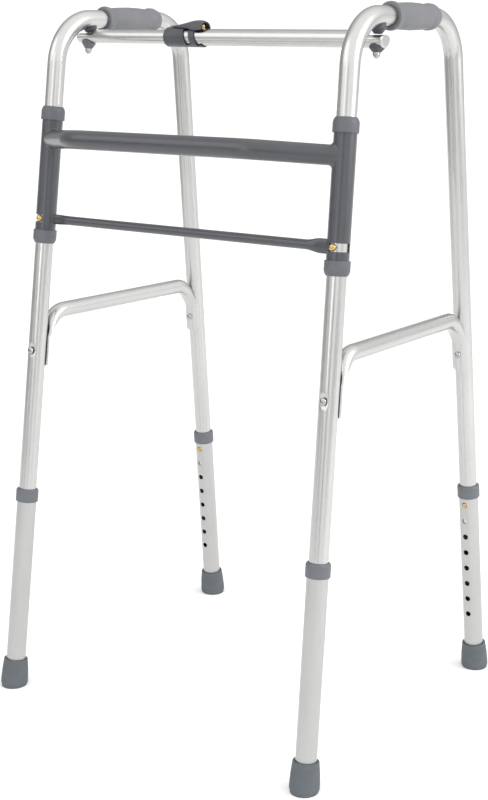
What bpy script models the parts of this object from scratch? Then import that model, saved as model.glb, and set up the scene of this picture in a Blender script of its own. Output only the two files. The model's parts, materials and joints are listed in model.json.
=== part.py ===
"""Folding walking frame: two hinged side frames on a front H-frame, four telescopic legs, a telescopic top bar.

Metres, +Z up, the person stands at +Y and walks towards -Y. The origin is on the floor, midway between the feet.
"""

import math

import bmesh
import bpy
from mathutils import Matrix, Vector

OBJECT_NAME = "walking_frame"

# Legs: a point on the floor and the point of the same axis at LEG_TOP_HEIGHT, on the right side (+X).
LEG_TOP_HEIGHT = 0.900
FRONT_FOOT = Vector((0.2640, -0.2370, 0.0))
FRONT_TOP = Vector((0.2435, -0.1274, LEG_TOP_HEIGHT))
REAR_FOOT = Vector((0.2569, 0.2370, 0.0))
REAR_TOP = Vector((0.2374, 0.1406, LEG_TOP_HEIGHT))

# Side frames
FRAME_RADIUS = 0.0127
FRAME_BORE = 0.0114
FRAME_LOWER_END = 0.230
HANDLE_HEIGHT = 0.966
FRONT_BEND_RADIUS = 0.068
REAR_BEND_RADIUS = 0.060

# Handle grips
GRIP_FRONT = -0.033
GRIP_LENGTH = 0.113
GRIP_BORE = 0.0130

# Side braces
BRACE_HEIGHT = 0.555
BRACE_RADIUS = 0.0111
BRACE_END_HEIGHT = 0.4805
BRACE_BOLT_HEIGHT = 0.503
BRACE_FLAT_TOP = 0.520
BRACE_PLATE = 0.0046
BRACE_PLATE_WIDTH = 0.027
BRACE_FRONT_BEND = 0.036
BRACE_REAR_BEND = 0.029
BRACE_SETBACK = 0.026
BOLT_RADIUS = 0.0025
BOLT_HEAD_RADIUS = 0.0050
BOLT_HEAD_HEIGHT = 0.0030
NUT_RADIUS = 0.0048
NUT_HEIGHT = 0.0036

# Telescopic lower legs
LOWER_RADIUS = 0.0141
LOWER_BORE = 0.0132
LOWER_TOP_HEIGHT = 0.2965
HOLE_PITCH = 0.0254
HOLE_COUNT = 8
TOP_HOLE_HEIGHT = 0.2705
LEG_HOLE_RADIUS = 0.0041
COLLAR_RADIUS = 0.0163
COLLAR_BOTTOM = 0.2806
COLLAR_HEIGHT = 0.0215
FOOT_HEIGHT = 0.0410
FOOT_TOP_RADIUS = 0.0174
FOOT_BASE_RADIUS = 0.0199
FOOT_SOLE = 0.0062

# Front H-frame
SLEEVE_RADIUS = 0.0145
SLEEVE_BORE = 0.0134
SLEEVE_BOTTOM = 0.6600
SLEEVE_TOP = 0.8430
SLEEVE_COLLAR_RADIUS = 0.0165
SLEEVE_COLLAR_HEIGHT = 0.0190
SLEEVE_COLLAR_LIP = 0.0030
SLOT_HEIGHT = 0.0106
SLOT_SWEEP = math.radians(122.0)
SLOT_START = math.radians(-21.0)
UPPER_BAR_RADIUS = 0.0127
UPPER_BAR_BORE = 0.0112
UPPER_BAR_HEIGHT = 0.8005
UPPER_BAR_FRONT = -0.205
UPPER_BAR_HALF_STRAIGHT = 0.145
UPPER_BAR_BEND = 0.060
LOWER_BAR_RADIUS = 0.00635
LOWER_BAR_HEIGHT = 0.691
PADDLE_HEIGHT = 0.0190
PADDLE_THICKNESS = 0.0052
PADDLE_LENGTH = 0.026

# Telescopic top bar
BAR_HEIGHT = {"left": 0.9425, "right": 0.9380}
OUTER_BAR_RADIUS = 0.0111
OUTER_BAR_BORE = 0.0100
INNER_BAR_RADIUS = 0.0095
INNER_BAR_BORE = 0.0083
OUTER_BAR_LEFT = -0.0915
OUTER_BAR_RIGHT = 0.2530
INNER_BAR_LEFT = -0.2580
INNER_BAR_RIGHT = 0.0930
OUTER_FLAT_START = 0.2140
OUTER_FLAT_FULL = 0.2230
INNER_FLAT_START = -0.2215
INNER_FLAT_FULL = -0.2305
BAR_END_SQUASH = 0.45
BAR_END_WALL = 0.0015
PIVOT_SETBACK = -0.058

# Bolt, saddle, cup washer and dome nut at each end of the top bar
PIVOT_RADIUS = 0.0030
PIVOT_HEAD_RADIUS = 0.0048
PIVOT_HEAD_HEIGHT = 0.0016
SADDLE_TOP_RADIUS = 0.0098
SADDLE_FOOT_RADIUS = 0.0052
CUP_RADIUS = 0.0098
CUP_FOOT_RADIUS = 0.0056
CUP_BOTTOM = {"left": 0.9255, "right": 0.9220}
DOME_NUT_RADIUS = 0.0046
DOME_NUT_HEIGHT = 0.0075

# Push buttons
BUTTON_TRAVEL = 0.0035
SLEEVE_BUTTON_RADIUS = 0.0047
SLEEVE_BUTTON_HEIGHT = 0.691
LEG_BUTTON_RADIUS = 0.0037
BAR_BUTTON_RADIUS = 0.0036
BAR_BUTTON_X = -0.0345
BAR_BUTTON_BOTTOM = 0.0108
BAR_BUTTON_TOP = 0.0178

# Bar clip and its lever
CLIP_RADIUS = 0.0132
CLIP_LEFT = -0.0945
CLIP_COLLAR_RIGHT = -0.0570
CLIP_RING_LEFT = -0.0480
CLIP_RING_RIGHT = -0.0310
CLIP_STRAP_TOP = -0.0105
CLIP_NOTCH = (0.0180, 0.0120, 0.0120)
LEVER_WIDTH = 0.0150
LEVER_HINGE_X = -0.0865
LEVER_HINGE_RISE = 0.0145

GAP = 0.0003
SWEEP_SIDES = 16
TUBE_RESOLUTION = 6
TURN_STEPS = 16
SMALL_STEPS = 12
BEND_STEPS = 6

X_AXIS = Vector((1.0, 0.0, 0.0))
Y_AXIS = Vector((0.0, 1.0, 0.0))
Z_AXIS = Vector((0.0, 0.0, 1.0))
SIDES = {"right": 1.0, "left": -1.0}


# Scene helpers

def clear_scene():
    for obj in list(bpy.data.objects):
        bpy.data.objects.remove(obj, do_unlink=True)


def new_collection(name):
    collection = bpy.data.collections.new(name)
    bpy.context.scene.collection.children.link(collection)
    return collection


def new_material(name, color, roughness, metallic=0.0):
    material = bpy.data.materials.new(name)
    material.use_nodes = True
    shader = material.node_tree.nodes["Principled BSDF"]
    shader.inputs["Base Color"].default_value = (*color, 1.0)
    shader.inputs["Roughness"].default_value = roughness
    shader.inputs["Metallic"].default_value = metallic
    return material


def link(obj, collection, material=None):
    collection.objects.link(obj)
    if material:
        obj.data.materials.append(material)
    return obj


def as_cutter(obj):
    obj.hide_render = True
    obj.display_type = "WIRE"
    return obj


def place(obj, point, z_axis=Z_AXIS, x_axis=X_AXIS, parent=None):
    """Put the object's origin at a world point, with its own Z and X along the given directions."""
    z = Vector(z_axis).normalized()
    y = z.cross(Vector(x_axis)).normalized()
    x = y.cross(z)
    obj.rotation_euler = Matrix((x, y, z)).transposed().to_euler()
    obj.location = Vector(point)
    if parent:
        obj.parent = parent
        obj.location -= parent.location
    return obj


def smooth(obj, angle=math.radians(35.0)):
    obj.data.shade_smooth()
    obj.data.set_sharp_from_angle(angle=angle)
    return obj


def new_axis(name, point):
    empty = bpy.data.objects.new(name, None)
    empty.location = Vector(point)
    parts.objects.link(empty)
    return empty


# Shape helpers

def turned(name, profile, material, steps=TURN_STEPS, closed=False, collection=None):
    """A profile of (radius, height) points, running down its outer side, turned about the object's Z."""
    mesh = bpy.data.meshes.new(name)
    edges = [(i, i + 1) for i in range(len(profile) - 1)]
    if closed:
        edges.append((len(profile) - 1, 0))
    mesh.from_pydata([(radius, 0.0, height) for radius, height in profile], edges, [])
    obj = link(bpy.data.objects.new(name, mesh), collection or parts, material)
    screw = obj.modifiers.new("turn", "SCREW")
    screw.steps = steps
    screw.render_steps = steps
    screw.use_merge_vertices = True
    screw.merge_threshold = 0.00001
    screw.use_smooth_shade = True
    return obj


def ring_profile(outer, inner, top, bottom, bevel=0.0):
    """A closed profile of a plain ring, with its outer edges cut back by the bevel."""
    if not bevel:
        return [(outer, top), (outer, bottom), (inner, bottom), (inner, top)]
    return [
        (outer - bevel, top),
        (outer, top - bevel),
        (outer, bottom + bevel),
        (outer - bevel, bottom),
        (inner, bottom),
        (inner, top),
    ]


def arc_points(start, corner, end, radius, steps=BEND_STEPS):
    """The points of a round bend of the given radius that replaces a corner."""
    back = (start - corner).normalized()
    ahead = (end - corner).normalized()
    half = back.angle(ahead) / 2.0
    centre = corner + (back + ahead).normalized() * radius / math.sin(half)
    first = corner + back * radius / math.tan(half) - centre
    last = corner + ahead * radius / math.tan(half) - centre
    return [centre + first.slerp(last, i / steps).normalized() * radius for i in range(steps + 1)]


def bent_path(points, radii, steps=BEND_STEPS):
    """A path of straight runs through the points, with a round bend at each inner one."""
    path = [points[0]]
    for i, radius in enumerate(radii, start=1):
        path += arc_points(points[i - 1], points[i], points[i + 1], radius, steps)
    path.append(points[-1])
    return path


def from_curve(curve, points, material, collection=None):
    """A straight-segment curve through the points, turned into an object whose mesh has welded caps."""
    spline = curve.splines.new("POLY")
    spline.use_cyclic_u = curve.dimensions == "2D"
    spline.points.add(len(points) - 1)
    for point, place_at in zip(spline.points, points):
        point.co = (*place_at, 1.0)
    guide = bpy.data.objects.new(curve.name + "_guide", curve)
    bpy.context.scene.collection.objects.link(guide)
    depsgraph = bpy.context.evaluated_depsgraph_get()
    mesh = bpy.data.meshes.new_from_object(guide.evaluated_get(depsgraph))
    bpy.data.objects.remove(guide, do_unlink=True)
    weld = bmesh.new()
    weld.from_mesh(mesh)
    bmesh.ops.remove_doubles(weld, verts=weld.verts, dist=0.00001)
    bmesh.ops.recalc_face_normals(weld, faces=weld.faces)
    weld.to_mesh(mesh)
    weld.free()
    obj = bpy.data.objects.new(curve.name, mesh)
    return smooth(link(obj, collection or parts, material))


def tube_mesh(name, path, radius, material, collection=None):
    """A round bar along a path."""
    curve = bpy.data.curves.new(name, "CURVE")
    curve.dimensions = "3D"
    curve.bevel_depth = radius
    curve.bevel_resolution = TUBE_RESOLUTION
    curve.use_fill_caps = True
    return from_curve(curve, path, material, collection)


def plate_mesh(name, outline, thickness, material, collection=None):
    """A flat plate inside an outline, centred on its own XY plane."""
    curve = bpy.data.curves.new(name, "CURVE")
    curve.dimensions = "2D"
    curve.fill_mode = "BOTH"
    curve.extrude = thickness / 2.0
    return from_curve(curve, [(x, y, 0.0) for x, y in outline], material, collection)


def loft(name, rings, material, collection=None):
    """A closed skin over rings of points that face along the loft, from first to last."""
    mesh = bmesh.new()
    rows = [[mesh.verts.new(point) for point in ring] for ring in rings]
    count = len(rows[0])
    for lower, upper in zip(rows[:-1], rows[1:]):
        for i in range(count):
            j = (i + 1) % count
            mesh.faces.new((lower[i], lower[j], upper[j], upper[i]))
    mesh.faces.new(list(reversed(rows[0])))
    mesh.faces.new(rows[-1])
    bmesh.ops.recalc_face_normals(mesh, faces=mesh.faces)
    data = bpy.data.meshes.new(name)
    mesh.to_mesh(data)
    mesh.free()
    return smooth(link(bpy.data.objects.new(name, data), collection or parts, material))


def set_origin(obj, point, parent=None):
    """Move an object's origin to a point without moving its surface, and parent it."""
    offset = Vector(point) - obj.location
    obj.data.transform(Matrix.Translation(-offset))
    obj.location = Vector(point)
    if parent:
        obj.parent = parent
        obj.location -= parent.location
    return obj


def cut(obj, cutter, operation="DIFFERENCE"):
    boolean = obj.modifiers.new("cut", "BOOLEAN")
    boolean.operation = operation
    boolean.solver = "EXACT"
    boolean.object = cutter
    return obj


def peg_cutter(name, point, direction, radius, start, end, steps=SMALL_STEPS):
    """A round cutter along a direction, between two distances from the point."""
    profile = [(0.0, end), (radius, end), (radius, start), (0.0, start)]
    cutter = turned(name, profile, None, steps, collection=cutters)
    side = X_AXIS if abs(Vector(direction).normalized().x) < 0.9 else Y_AXIS
    return as_cutter(place(cutter, point, direction, side))


def box_cutter(name, centre, size):
    bpy.ops.mesh.primitive_cube_add(size=1.0, location=centre)
    cutter = bpy.context.active_object
    for collection in list(cutter.users_collection):
        collection.objects.unlink(cutter)
    cutter.name = name
    cutter.scale = size
    cutters.objects.link(cutter)
    return as_cutter(cutter)


# Legs as axes

class Leg:
    """One leg's axis: where it meets the floor, its direction and the directions across it."""

    def __init__(self, side, row):
        foot = FRONT_FOOT if row == "front" else REAR_FOOT
        top = FRONT_TOP if row == "front" else REAR_TOP
        mirror = Vector((SIDES[side], 1.0, 1.0))
        self.side = side
        self.row = row
        self.name = f"{row}_{side}"
        self.foot = foot * mirror
        self.direction = ((top - foot) * mirror).normalized()
        towards = Y_AXIS if row == "front" else -Y_AXIS
        self.inward = (towards - self.direction * towards.dot(self.direction)).normalized()

    def at(self, height):
        """The point of the axis at a height over the floor."""
        return self.foot + self.direction * (height / self.direction.z)


# Side frames

def frame_path(side, lower_end=FRAME_LOWER_END):
    front = LEGS["front_" + side]
    rear = LEGS["rear_" + side]
    corners = [front.at(lower_end), front.at(HANDLE_HEIGHT), rear.at(HANDLE_HEIGHT), rear.at(lower_end)]
    return bent_path(corners, [FRONT_BEND_RADIUS, REAR_BEND_RADIUS])


def handle_line(side):
    """A point of the handle's axis at Y = 0 and the handle's direction, towards +Y."""
    start = LEGS["front_" + side].at(HANDLE_HEIGHT)
    direction = (LEGS["rear_" + side].at(HANDLE_HEIGHT) - start).normalized()
    return start - direction * (start.y / direction.y), direction


def handle_point(side, y):
    middle, direction = handle_line(side)
    return middle + direction * (y / direction.y)


def build_side_frame(side, axis):
    frame = tube_mesh(f"side_frame_{side}", frame_path(side), FRAME_RADIUS, aluminium)
    bore = tube_mesh(f"frame_bore_{side}", frame_path(side, FRAME_LOWER_END - 0.01), FRAME_BORE, None, cutters)
    cut(frame, as_cutter(bore))
    front = LEGS["front_" + side]
    across = front.inward
    cut(frame, peg_cutter(
        f"sleeve_button_hole_{side}", front.at(SLEEVE_BUTTON_HEIGHT), -across,
        SLEEVE_BUTTON_RADIUS + GAP, 0.006, 0.020))
    for row in ("front", "rear"):
        leg = LEGS[f"{row}_{side}"]
        cut(frame, peg_cutter(
            f"frame_button_hole_{leg.name}", leg.at(TOP_HOLE_HEIGHT), leg.inward,
            LEG_BUTTON_RADIUS + 2.0 * GAP, 0.006, 0.020))
        cut(frame, peg_cutter(
            f"frame_bolt_hole_{leg.name}", leg.at(BRACE_BOLT_HEIGHT), leg.inward,
            BOLT_RADIUS + GAP, -0.020, 0.020))
    if side == "left":
        cut(frame, peg_cutter(
            "frame_pivot_hole_left", handle_point(side, PIVOT_SETBACK), -front.direction,
            PIVOT_RADIUS + GAP, 0.003, 0.020))
    return set_origin(frame, axis.location, axis)


def grip_profile():
    """The grip's outline: a flange at the front, a barrelled body and a rounded rear bead."""
    outline = [
        (0.000, 0.0162), (0.0015, 0.0177), (0.0045, 0.0182), (0.0080, 0.0176), (0.0115, 0.0164),
        (0.0300, 0.0170), (0.0500, 0.0174), (0.0700, 0.0171), (0.0880, 0.0163),
        (0.0940, 0.0168), (0.1000, 0.0169), (0.1060, 0.0161), (0.1105, 0.0148), (GRIP_LENGTH, 0.0136),
    ]
    outer = [(radius, GRIP_LENGTH - along) for along, radius in outline]
    return outer + [(GRIP_BORE, 0.0), (GRIP_BORE, GRIP_LENGTH)]


def build_grip(side, axis):
    _, direction = handle_line(side)
    grip = turned(f"grip_{side}", grip_profile(), grip_rubber, closed=True)
    rear_end = handle_point(side, GRIP_FRONT) + direction * GRIP_LENGTH
    return place(grip, rear_end, -direction, X_AXIS, axis)


def brace_section(centre, along, width, thickness, wrap):
    """A ring round the brace, squashed to a width and thickness and bent round the leg by wrap (1/m)."""
    across = (X_AXIS - along * X_AXIS.dot(along)).normalized()
    outward = along.cross(across)
    ring = []
    for i in range(SWEEP_SIDES):
        turn = 2.0 * math.pi * i / SWEEP_SIDES
        side_step = width / 2.0 * math.cos(turn)
        depth = thickness / 2.0 * math.sin(turn)
        drop = 0.0
        if wrap:
            reach = 1.0 / wrap
            angle = side_step / reach
            side_step = (reach + depth) * math.sin(angle)
            drop = reach * (1.0 - math.cos(angle))
            depth *= math.cos(angle)
        ring.append(centre + across * side_step + outward * (depth - drop))
    return ring


def ease(value):
    value = min(max(value, 0.0), 1.0)
    return value * value * (3.0 - 2.0 * value)


def brace_end_points(leg):
    """Points of the brace's centre line by a leg, from its lower end to its corner."""
    plate = FRAME_RADIUS + GAP + BRACE_PLATE / 2.0
    return [
        leg.at(BRACE_END_HEIGHT) + leg.inward * plate,
        leg.at(BRACE_BOLT_HEIGHT) + leg.inward * plate,
        leg.at(BRACE_FLAT_TOP) + leg.inward * plate,
        leg.at(BRACE_HEIGHT) + leg.inward * BRACE_SETBACK,
    ]


def build_brace(side, axis):
    front = brace_end_points(LEGS["front_" + side])
    rear = brace_end_points(LEGS["rear_" + side])
    front[3].z = BRACE_HEIGHT
    rear[3].z = BRACE_HEIGHT
    front_bend = arc_points(front[2], front[3], rear[3], BRACE_FRONT_BEND)
    rear_bend = arc_points(front[3], rear[3], rear[2], BRACE_REAR_BEND)
    path = front[:3] + front_bend + rear_bend + list(reversed(rear[:3]))
    rings = []
    for i, point in enumerate(path):
        before = path[max(i - 1, 0)]
        after = path[min(i + 1, len(path) - 1)]
        along = (after - before).normalized()
        near_front = i < len(path) / 2
        plate_end = front[2] if near_front else rear[2]
        rise = (point.z - plate_end.z) / (BRACE_HEIGHT - plate_end.z)
        blend = ease(rise)
        width = BRACE_PLATE_WIDTH + (2.0 * BRACE_RADIUS - BRACE_PLATE_WIDTH) * blend
        thickness = BRACE_PLATE + (2.0 * BRACE_RADIUS - BRACE_PLATE) * blend
        wrap = (1.0 - blend) / (FRAME_RADIUS + GAP + BRACE_PLATE / 2.0)
        rings.append(brace_section(point, along, width, thickness, wrap))
    brace = loft(f"brace_{side}", rings, aluminium)
    for row in ("front", "rear"):
        leg = LEGS[f"{row}_{side}"]
        cut(brace, peg_cutter(
            f"brace_bolt_hole_{leg.name}", leg.at(BRACE_BOLT_HEIGHT), leg.inward,
            BOLT_RADIUS + GAP, 0.008, 0.026))
    return set_origin(brace, axis.location, axis)


def build_brace_fastener(leg, axis):
    """A dome-headed bolt through the leg and the brace's plate, and its nut, both along Y."""
    plate_face = FRAME_RADIUS + GAP + BRACE_PLATE + GAP
    tube_face = FRAME_RADIUS + GAP
    front = leg.row == "front"
    head_at = tube_face if front else plate_face
    nut_at = plate_face if front else tube_face
    head_way = -leg.inward if front else leg.inward
    tip = -nut_at - NUT_HEIGHT
    dome = [
        (BOLT_HEAD_RADIUS * math.sin(angle), head_at + BOLT_HEAD_HEIGHT * math.cos(angle))
        for angle in (0.0, math.pi / 6.0, math.pi / 3.0, math.pi / 2.0)
    ]
    shank = [(BOLT_RADIUS, head_at), (BOLT_RADIUS, tip), (0.0, tip)]
    bolt = turned(f"brace_bolt_{leg.name}", dome + shank, steel, SMALL_STEPS)
    place(bolt, leg.at(BRACE_BOLT_HEIGHT), head_way, X_AXIS, axis)
    hexagon_bore = (BOLT_RADIUS + GAP) / math.cos(math.pi / 6.0)
    nut = turned(
        f"brace_nut_{leg.name}",
        ring_profile(NUT_RADIUS, hexagon_bore, NUT_HEIGHT - GAP, 0.0, 0.0005),
        steel, 6, closed=True)
    place(nut, leg.at(BRACE_BOLT_HEIGHT) - head_way * nut_at, -head_way, X_AXIS, axis)


# Lower legs

def build_lower_tube(leg):
    bottom = FOOT_SOLE + GAP
    tube = turned(
        f"lower_leg_{leg.name}",
        ring_profile(LOWER_RADIUS, LOWER_BORE, (LOWER_TOP_HEIGHT - bottom) / leg.direction.z, 0.0),
        aluminium, closed=True)
    place(tube, leg.at(bottom), leg.direction, leg.inward)
    for i in range(HOLE_COUNT):
        point = leg.at(TOP_HOLE_HEIGHT) - leg.direction * (HOLE_PITCH * i)
        cut(tube, peg_cutter(
            f"leg_hole_{leg.name}_{i}", point, leg.inward, LEG_HOLE_RADIUS, 0.006, 0.020, 10))


def build_leg_collar(leg):
    """A bush over the lower tube's mouth, open to the tube that slides through it."""
    shoulder = (LOWER_TOP_HEIGHT - COLLAR_BOTTOM) / leg.direction.z + GAP
    bevel = 0.0012
    profile = [
        (COLLAR_RADIUS - 2.0 * bevel, COLLAR_HEIGHT),
        (COLLAR_RADIUS, COLLAR_HEIGHT - 2.0 * bevel),
        (COLLAR_RADIUS, bevel),
        (COLLAR_RADIUS - bevel, 0.0),
        (LOWER_RADIUS + GAP, 0.0),
        (LOWER_RADIUS + GAP, shoulder),
        (FRAME_RADIUS + 2.0 * GAP, shoulder),
        (FRAME_RADIUS + 2.0 * GAP, COLLAR_HEIGHT),
    ]
    collar = turned(f"leg_collar_{leg.name}", profile, grey_plastic, closed=True)
    place(collar, leg.at(COLLAR_BOTTOM), leg.direction, leg.inward)


def build_foot(leg):
    """A rubber ferrule with a flared base, its sole cut flat on the floor."""
    height = FOOT_HEIGHT / leg.direction.z
    floor = FOOT_SOLE / leg.direction.z
    swell = FOOT_BASE_RADIUS - FOOT_TOP_RADIUS
    profile = [
        (FOOT_TOP_RADIUS - 0.0012, height),
        (FOOT_TOP_RADIUS, height - 0.0012),
        (FOOT_TOP_RADIUS + 0.70 * swell, height * 0.62),
        (FOOT_BASE_RADIUS, height * 0.28),
        (FOOT_BASE_RADIUS, 0.0040),
        (FOOT_BASE_RADIUS - 0.0007, 0.0),
        (FOOT_BASE_RADIUS - 0.0014, -0.0060),
        (0.0, -0.0060),
        (0.0, floor),
        (LOWER_RADIUS + GAP, floor),
        (LOWER_RADIUS + GAP, height),
    ]
    foot = turned(f"foot_{leg.name}", profile, foot_rubber, closed=True)
    place(foot, leg.foot, leg.direction, leg.inward)
    cut(foot, floor_cutter)


# Push buttons and their leaf springs

def button_profile(radius, inner, outer):
    """A domed peg whose flat end is at inner and whose crown is at outer, from its axis's start."""
    crown = outer - radius * 0.75
    dome = [
        (radius * math.sin(angle), crown + radius * 0.75 * math.cos(angle))
        for angle in (0.0, math.pi / 8.0, math.pi / 4.0, 3.0 * math.pi / 8.0, math.pi / 2.0)
    ]
    return dome + [(radius, inner), (0.0, inner)]


def build_spring(name, origin, along, outward, near, far, length, parent=None):
    """A U-shaped leaf spring: one leg at the near distance behind the button, the other at the far wall."""
    half_width = 0.0030
    reach = (near + far) / 2.0
    bend_steps = 5
    path = [(near, -0.006), (near, length - reach)]
    for i in range(1, bend_steps):
        angle = math.pi * i / bend_steps
        path.append(((near - far) / 2.0 + reach * math.cos(angle), length - reach + reach * math.sin(angle)))
    path += [(-far, length - reach), (-far, -0.006)]
    mesh = bmesh.new()
    points = [mesh.verts.new((x, -half_width, z)) for x, z in path]
    edges = [mesh.edges.new(pair) for pair in zip(points[:-1], points[1:])]
    swept = bmesh.ops.extrude_edge_only(mesh, edges=edges)
    moved = [item for item in swept["geom"] if isinstance(item, bmesh.types.BMVert)]
    bmesh.ops.translate(mesh, verts=moved, vec=(0.0, 2.0 * half_width, 0.0))
    data = bpy.data.meshes.new(name)
    mesh.to_mesh(data)
    mesh.free()
    spring = link(bpy.data.objects.new(name, data), parts, spring_steel)
    solidify = spring.modifiers.new("sheet", "SOLIDIFY")
    solidify.thickness = 0.0006
    solidify.offset = 0.0
    return place(spring, origin, along, outward, parent)


def build_leg_button(leg, axis):
    button = turned(
        f"leg_button_{leg.name}",
        button_profile(LEG_BUTTON_RADIUS, FRAME_RADIUS + GAP, LOWER_RADIUS + 0.0026), brass, SMALL_STEPS)
    place(button, leg.at(TOP_HOLE_HEIGHT), leg.inward, X_AXIS)
    near = FRAME_RADIUS + GAP - BUTTON_TRAVEL - 0.0008
    build_spring(
        f"leg_spring_{leg.name}", leg.at(TOP_HOLE_HEIGHT), leg.direction, leg.inward,
        near, 0.0101, 0.045, axis)


def build_sleeve_button(side, axis):
    leg = LEGS["front_" + side]
    button = turned(
        f"sleeve_button_{side}",
        button_profile(SLEEVE_BUTTON_RADIUS, 0.0105, SLEEVE_RADIUS + 0.0027), brass, SMALL_STEPS)
    place(button, leg.at(SLEEVE_BUTTON_HEIGHT), -leg.inward, X_AXIS, axis)
    build_spring(
        f"sleeve_spring_{side}", leg.at(SLEEVE_BUTTON_HEIGHT), leg.direction, -leg.inward,
        0.0105 - BUTTON_TRAVEL - 0.0008, 0.0101, 0.045, axis)


# Front H-frame

def build_sleeve(side):
    leg = LEGS["front_" + side]
    length = (SLEEVE_TOP - SLEEVE_BOTTOM) / leg.direction.z
    sleeve = turned(
        f"sleeve_{side}", ring_profile(SLEEVE_RADIUS, SLEEVE_BORE, length, 0.0),
        grey_paint, 24, closed=True)
    place(sleeve, leg.at(SLEEVE_BOTTOM), leg.direction, leg.inward)
    cut(sleeve, slot_cutter(side))


def slot_cutter(side):
    """A pie-shaped plate: it opens the sleeve from its front face round to its outer side."""
    leg = LEGS["front_" + side]
    reach = 0.022
    steps = 7
    outline = [(0.0, 0.0)]
    for i in range(steps + 1):
        angle = SLOT_START + SLOT_SWEEP * i / steps
        outline.append((reach * math.sin(angle) * SIDES[side], -reach * math.cos(angle)))
    cutter = plate_mesh(f"slot_cutter_{side}", outline, SLOT_HEIGHT, None, cutters)
    forward_x = leg.inward.cross(leg.direction)
    return as_cutter(place(cutter, leg.at(SLEEVE_BUTTON_HEIGHT), leg.direction, forward_x))


def build_sleeve_collar(side, end):
    """A plastic bush over one end of a sleeve, its mouth running on the side frame's tube."""
    leg = LEGS["front_" + side]
    upper = end == "upper"
    lip = SLEEVE_COLLAR_LIP
    height = SLEEVE_COLLAR_HEIGHT
    profile = [
        (SLEEVE_COLLAR_RADIUS - 0.0030, height),
        (SLEEVE_COLLAR_RADIUS - 0.0008, height - 0.0026),
        (SLEEVE_COLLAR_RADIUS, height - 0.0060),
        (SLEEVE_COLLAR_RADIUS, 0.0012),
        (SLEEVE_COLLAR_RADIUS - 0.0010, 0.0),
        (SLEEVE_RADIUS + GAP, 0.0),
        (SLEEVE_RADIUS + GAP, height - lip - GAP),
        (FRAME_RADIUS + 2.0 * GAP, height - lip - GAP),
        (FRAME_RADIUS + 2.0 * GAP, height),
    ]
    collar = turned(f"sleeve_collar_{end}_{side}", profile, sleeve_plastic, closed=True)
    way = leg.direction if upper else -leg.direction
    sleeve_end = SLEEVE_TOP if upper else SLEEVE_BOTTOM
    mouth = leg.at(sleeve_end) + way * (lip + 2.0 * GAP)
    place(collar, mouth - way * height, way, leg.inward)


def sleeve_cutter(side, name):
    leg = LEGS["front_" + side]
    return peg_cutter(
        f"{name}_{side}", leg.at(SLEEVE_BOTTOM), leg.direction, SLEEVE_RADIUS + GAP, -0.02, 0.22, 24)


def build_upper_crossbar():
    """The main crossbar, bowed forward in a plane square to the sleeves, its ends turned back to them."""
    right = LEGS["front_right"].at(UPPER_BAR_HEIGHT)
    left = LEGS["front_left"].at(UPPER_BAR_HEIGHT)
    lean = LEGS["front_right"].direction
    middle_height = UPPER_BAR_HEIGHT + (right.y - UPPER_BAR_FRONT) * lean.y / lean.z
    corners = [
        left,
        Vector((-UPPER_BAR_HALF_STRAIGHT, UPPER_BAR_FRONT, middle_height)),
        Vector((UPPER_BAR_HALF_STRAIGHT, UPPER_BAR_FRONT, middle_height)),
        right,
    ]
    path = bent_path(corners, [UPPER_BAR_BEND, UPPER_BAR_BEND], 4)
    bar = tube_mesh("crossbar_upper", path, UPPER_BAR_RADIUS, grey_paint)
    bore = tube_mesh("crossbar_bore", path, UPPER_BAR_BORE, None, cutters)
    for side in SIDES:
        cut(bar, sleeve_cutter(side, "crossbar_upper_end"))
    cut(bar, as_cutter(bore))
    return bar


def build_lower_crossbar():
    """A straight rod whose ends are pressed into upright paddles against the sleeves."""
    end = LEGS["front_right"].at(LOWER_BAR_HEIGHT)
    stations = []
    for x, blend in ((end.x - 0.002, 1.0), (end.x - 0.0165 - PADDLE_LENGTH * 0.35, 1.0),
                     (end.x - 0.0165 - PADDLE_LENGTH * 0.75, 0.62), (end.x - 0.0165 - PADDLE_LENGTH, 0.18),
                     (end.x - 0.0165 - PADDLE_LENGTH * 1.2, 0.0)):
        stations.append((x, blend))
    stations = [(-x, blend) for x, blend in stations] + list(reversed(stations))
    rings = []
    for x, blend in stations:
        tall = LOWER_BAR_RADIUS + (PADDLE_HEIGHT / 2.0 - LOWER_BAR_RADIUS) * blend
        thick = LOWER_BAR_RADIUS + (PADDLE_THICKNESS / 2.0 - LOWER_BAR_RADIUS) * blend
        rings.append([
            Vector((x, end.y + thick * math.cos(turn), LOWER_BAR_HEIGHT + tall * math.sin(turn)))
            for turn in (2.0 * math.pi * i / SWEEP_SIDES for i in range(SWEEP_SIDES))
        ])
    bar = loft("crossbar_lower", rings, grey_paint)
    for side in SIDES:
        cut(bar, sleeve_cutter(side, "crossbar_lower_end"))
    return bar


# Top bar

def pivot_point(side, height):
    """A point of the top bar's bolt axis, which is parallel to the side's fold axis."""
    handle = handle_point(side, PIVOT_SETBACK)
    direction = LEGS["front_" + side].direction
    return handle + direction * ((height - handle.z) / direction.z)


def bar_line(x):
    """The point of the top bar's axis at X = x; the axis runs through both bolts."""
    left = pivot_point("left", BAR_HEIGHT["left"])
    right = pivot_point("right", BAR_HEIGHT["right"])
    return left + (right - left) * ((x - left.x) / (right.x - left.x))


def bar_way():
    return (bar_line(0.1) - bar_line(0.0)).normalized()


def bar_up():
    way = bar_way()
    return (Z_AXIS - way * way.z).normalized()


def flatten_end(obj, start, full):
    """Press down the top of a bar's end, from X = start to X = full and on, where the bolt and saddle sit."""
    for vertex in obj.data.vertices:
        axis_height = bar_line(vertex.co.x).z
        above = vertex.co.z - axis_height
        if above > 0.0:
            blend = ease((vertex.co.x - start) / (full - start))
            vertex.co.z = axis_height + above * (1.0 - (1.0 - BAR_END_SQUASH) * blend)


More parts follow.
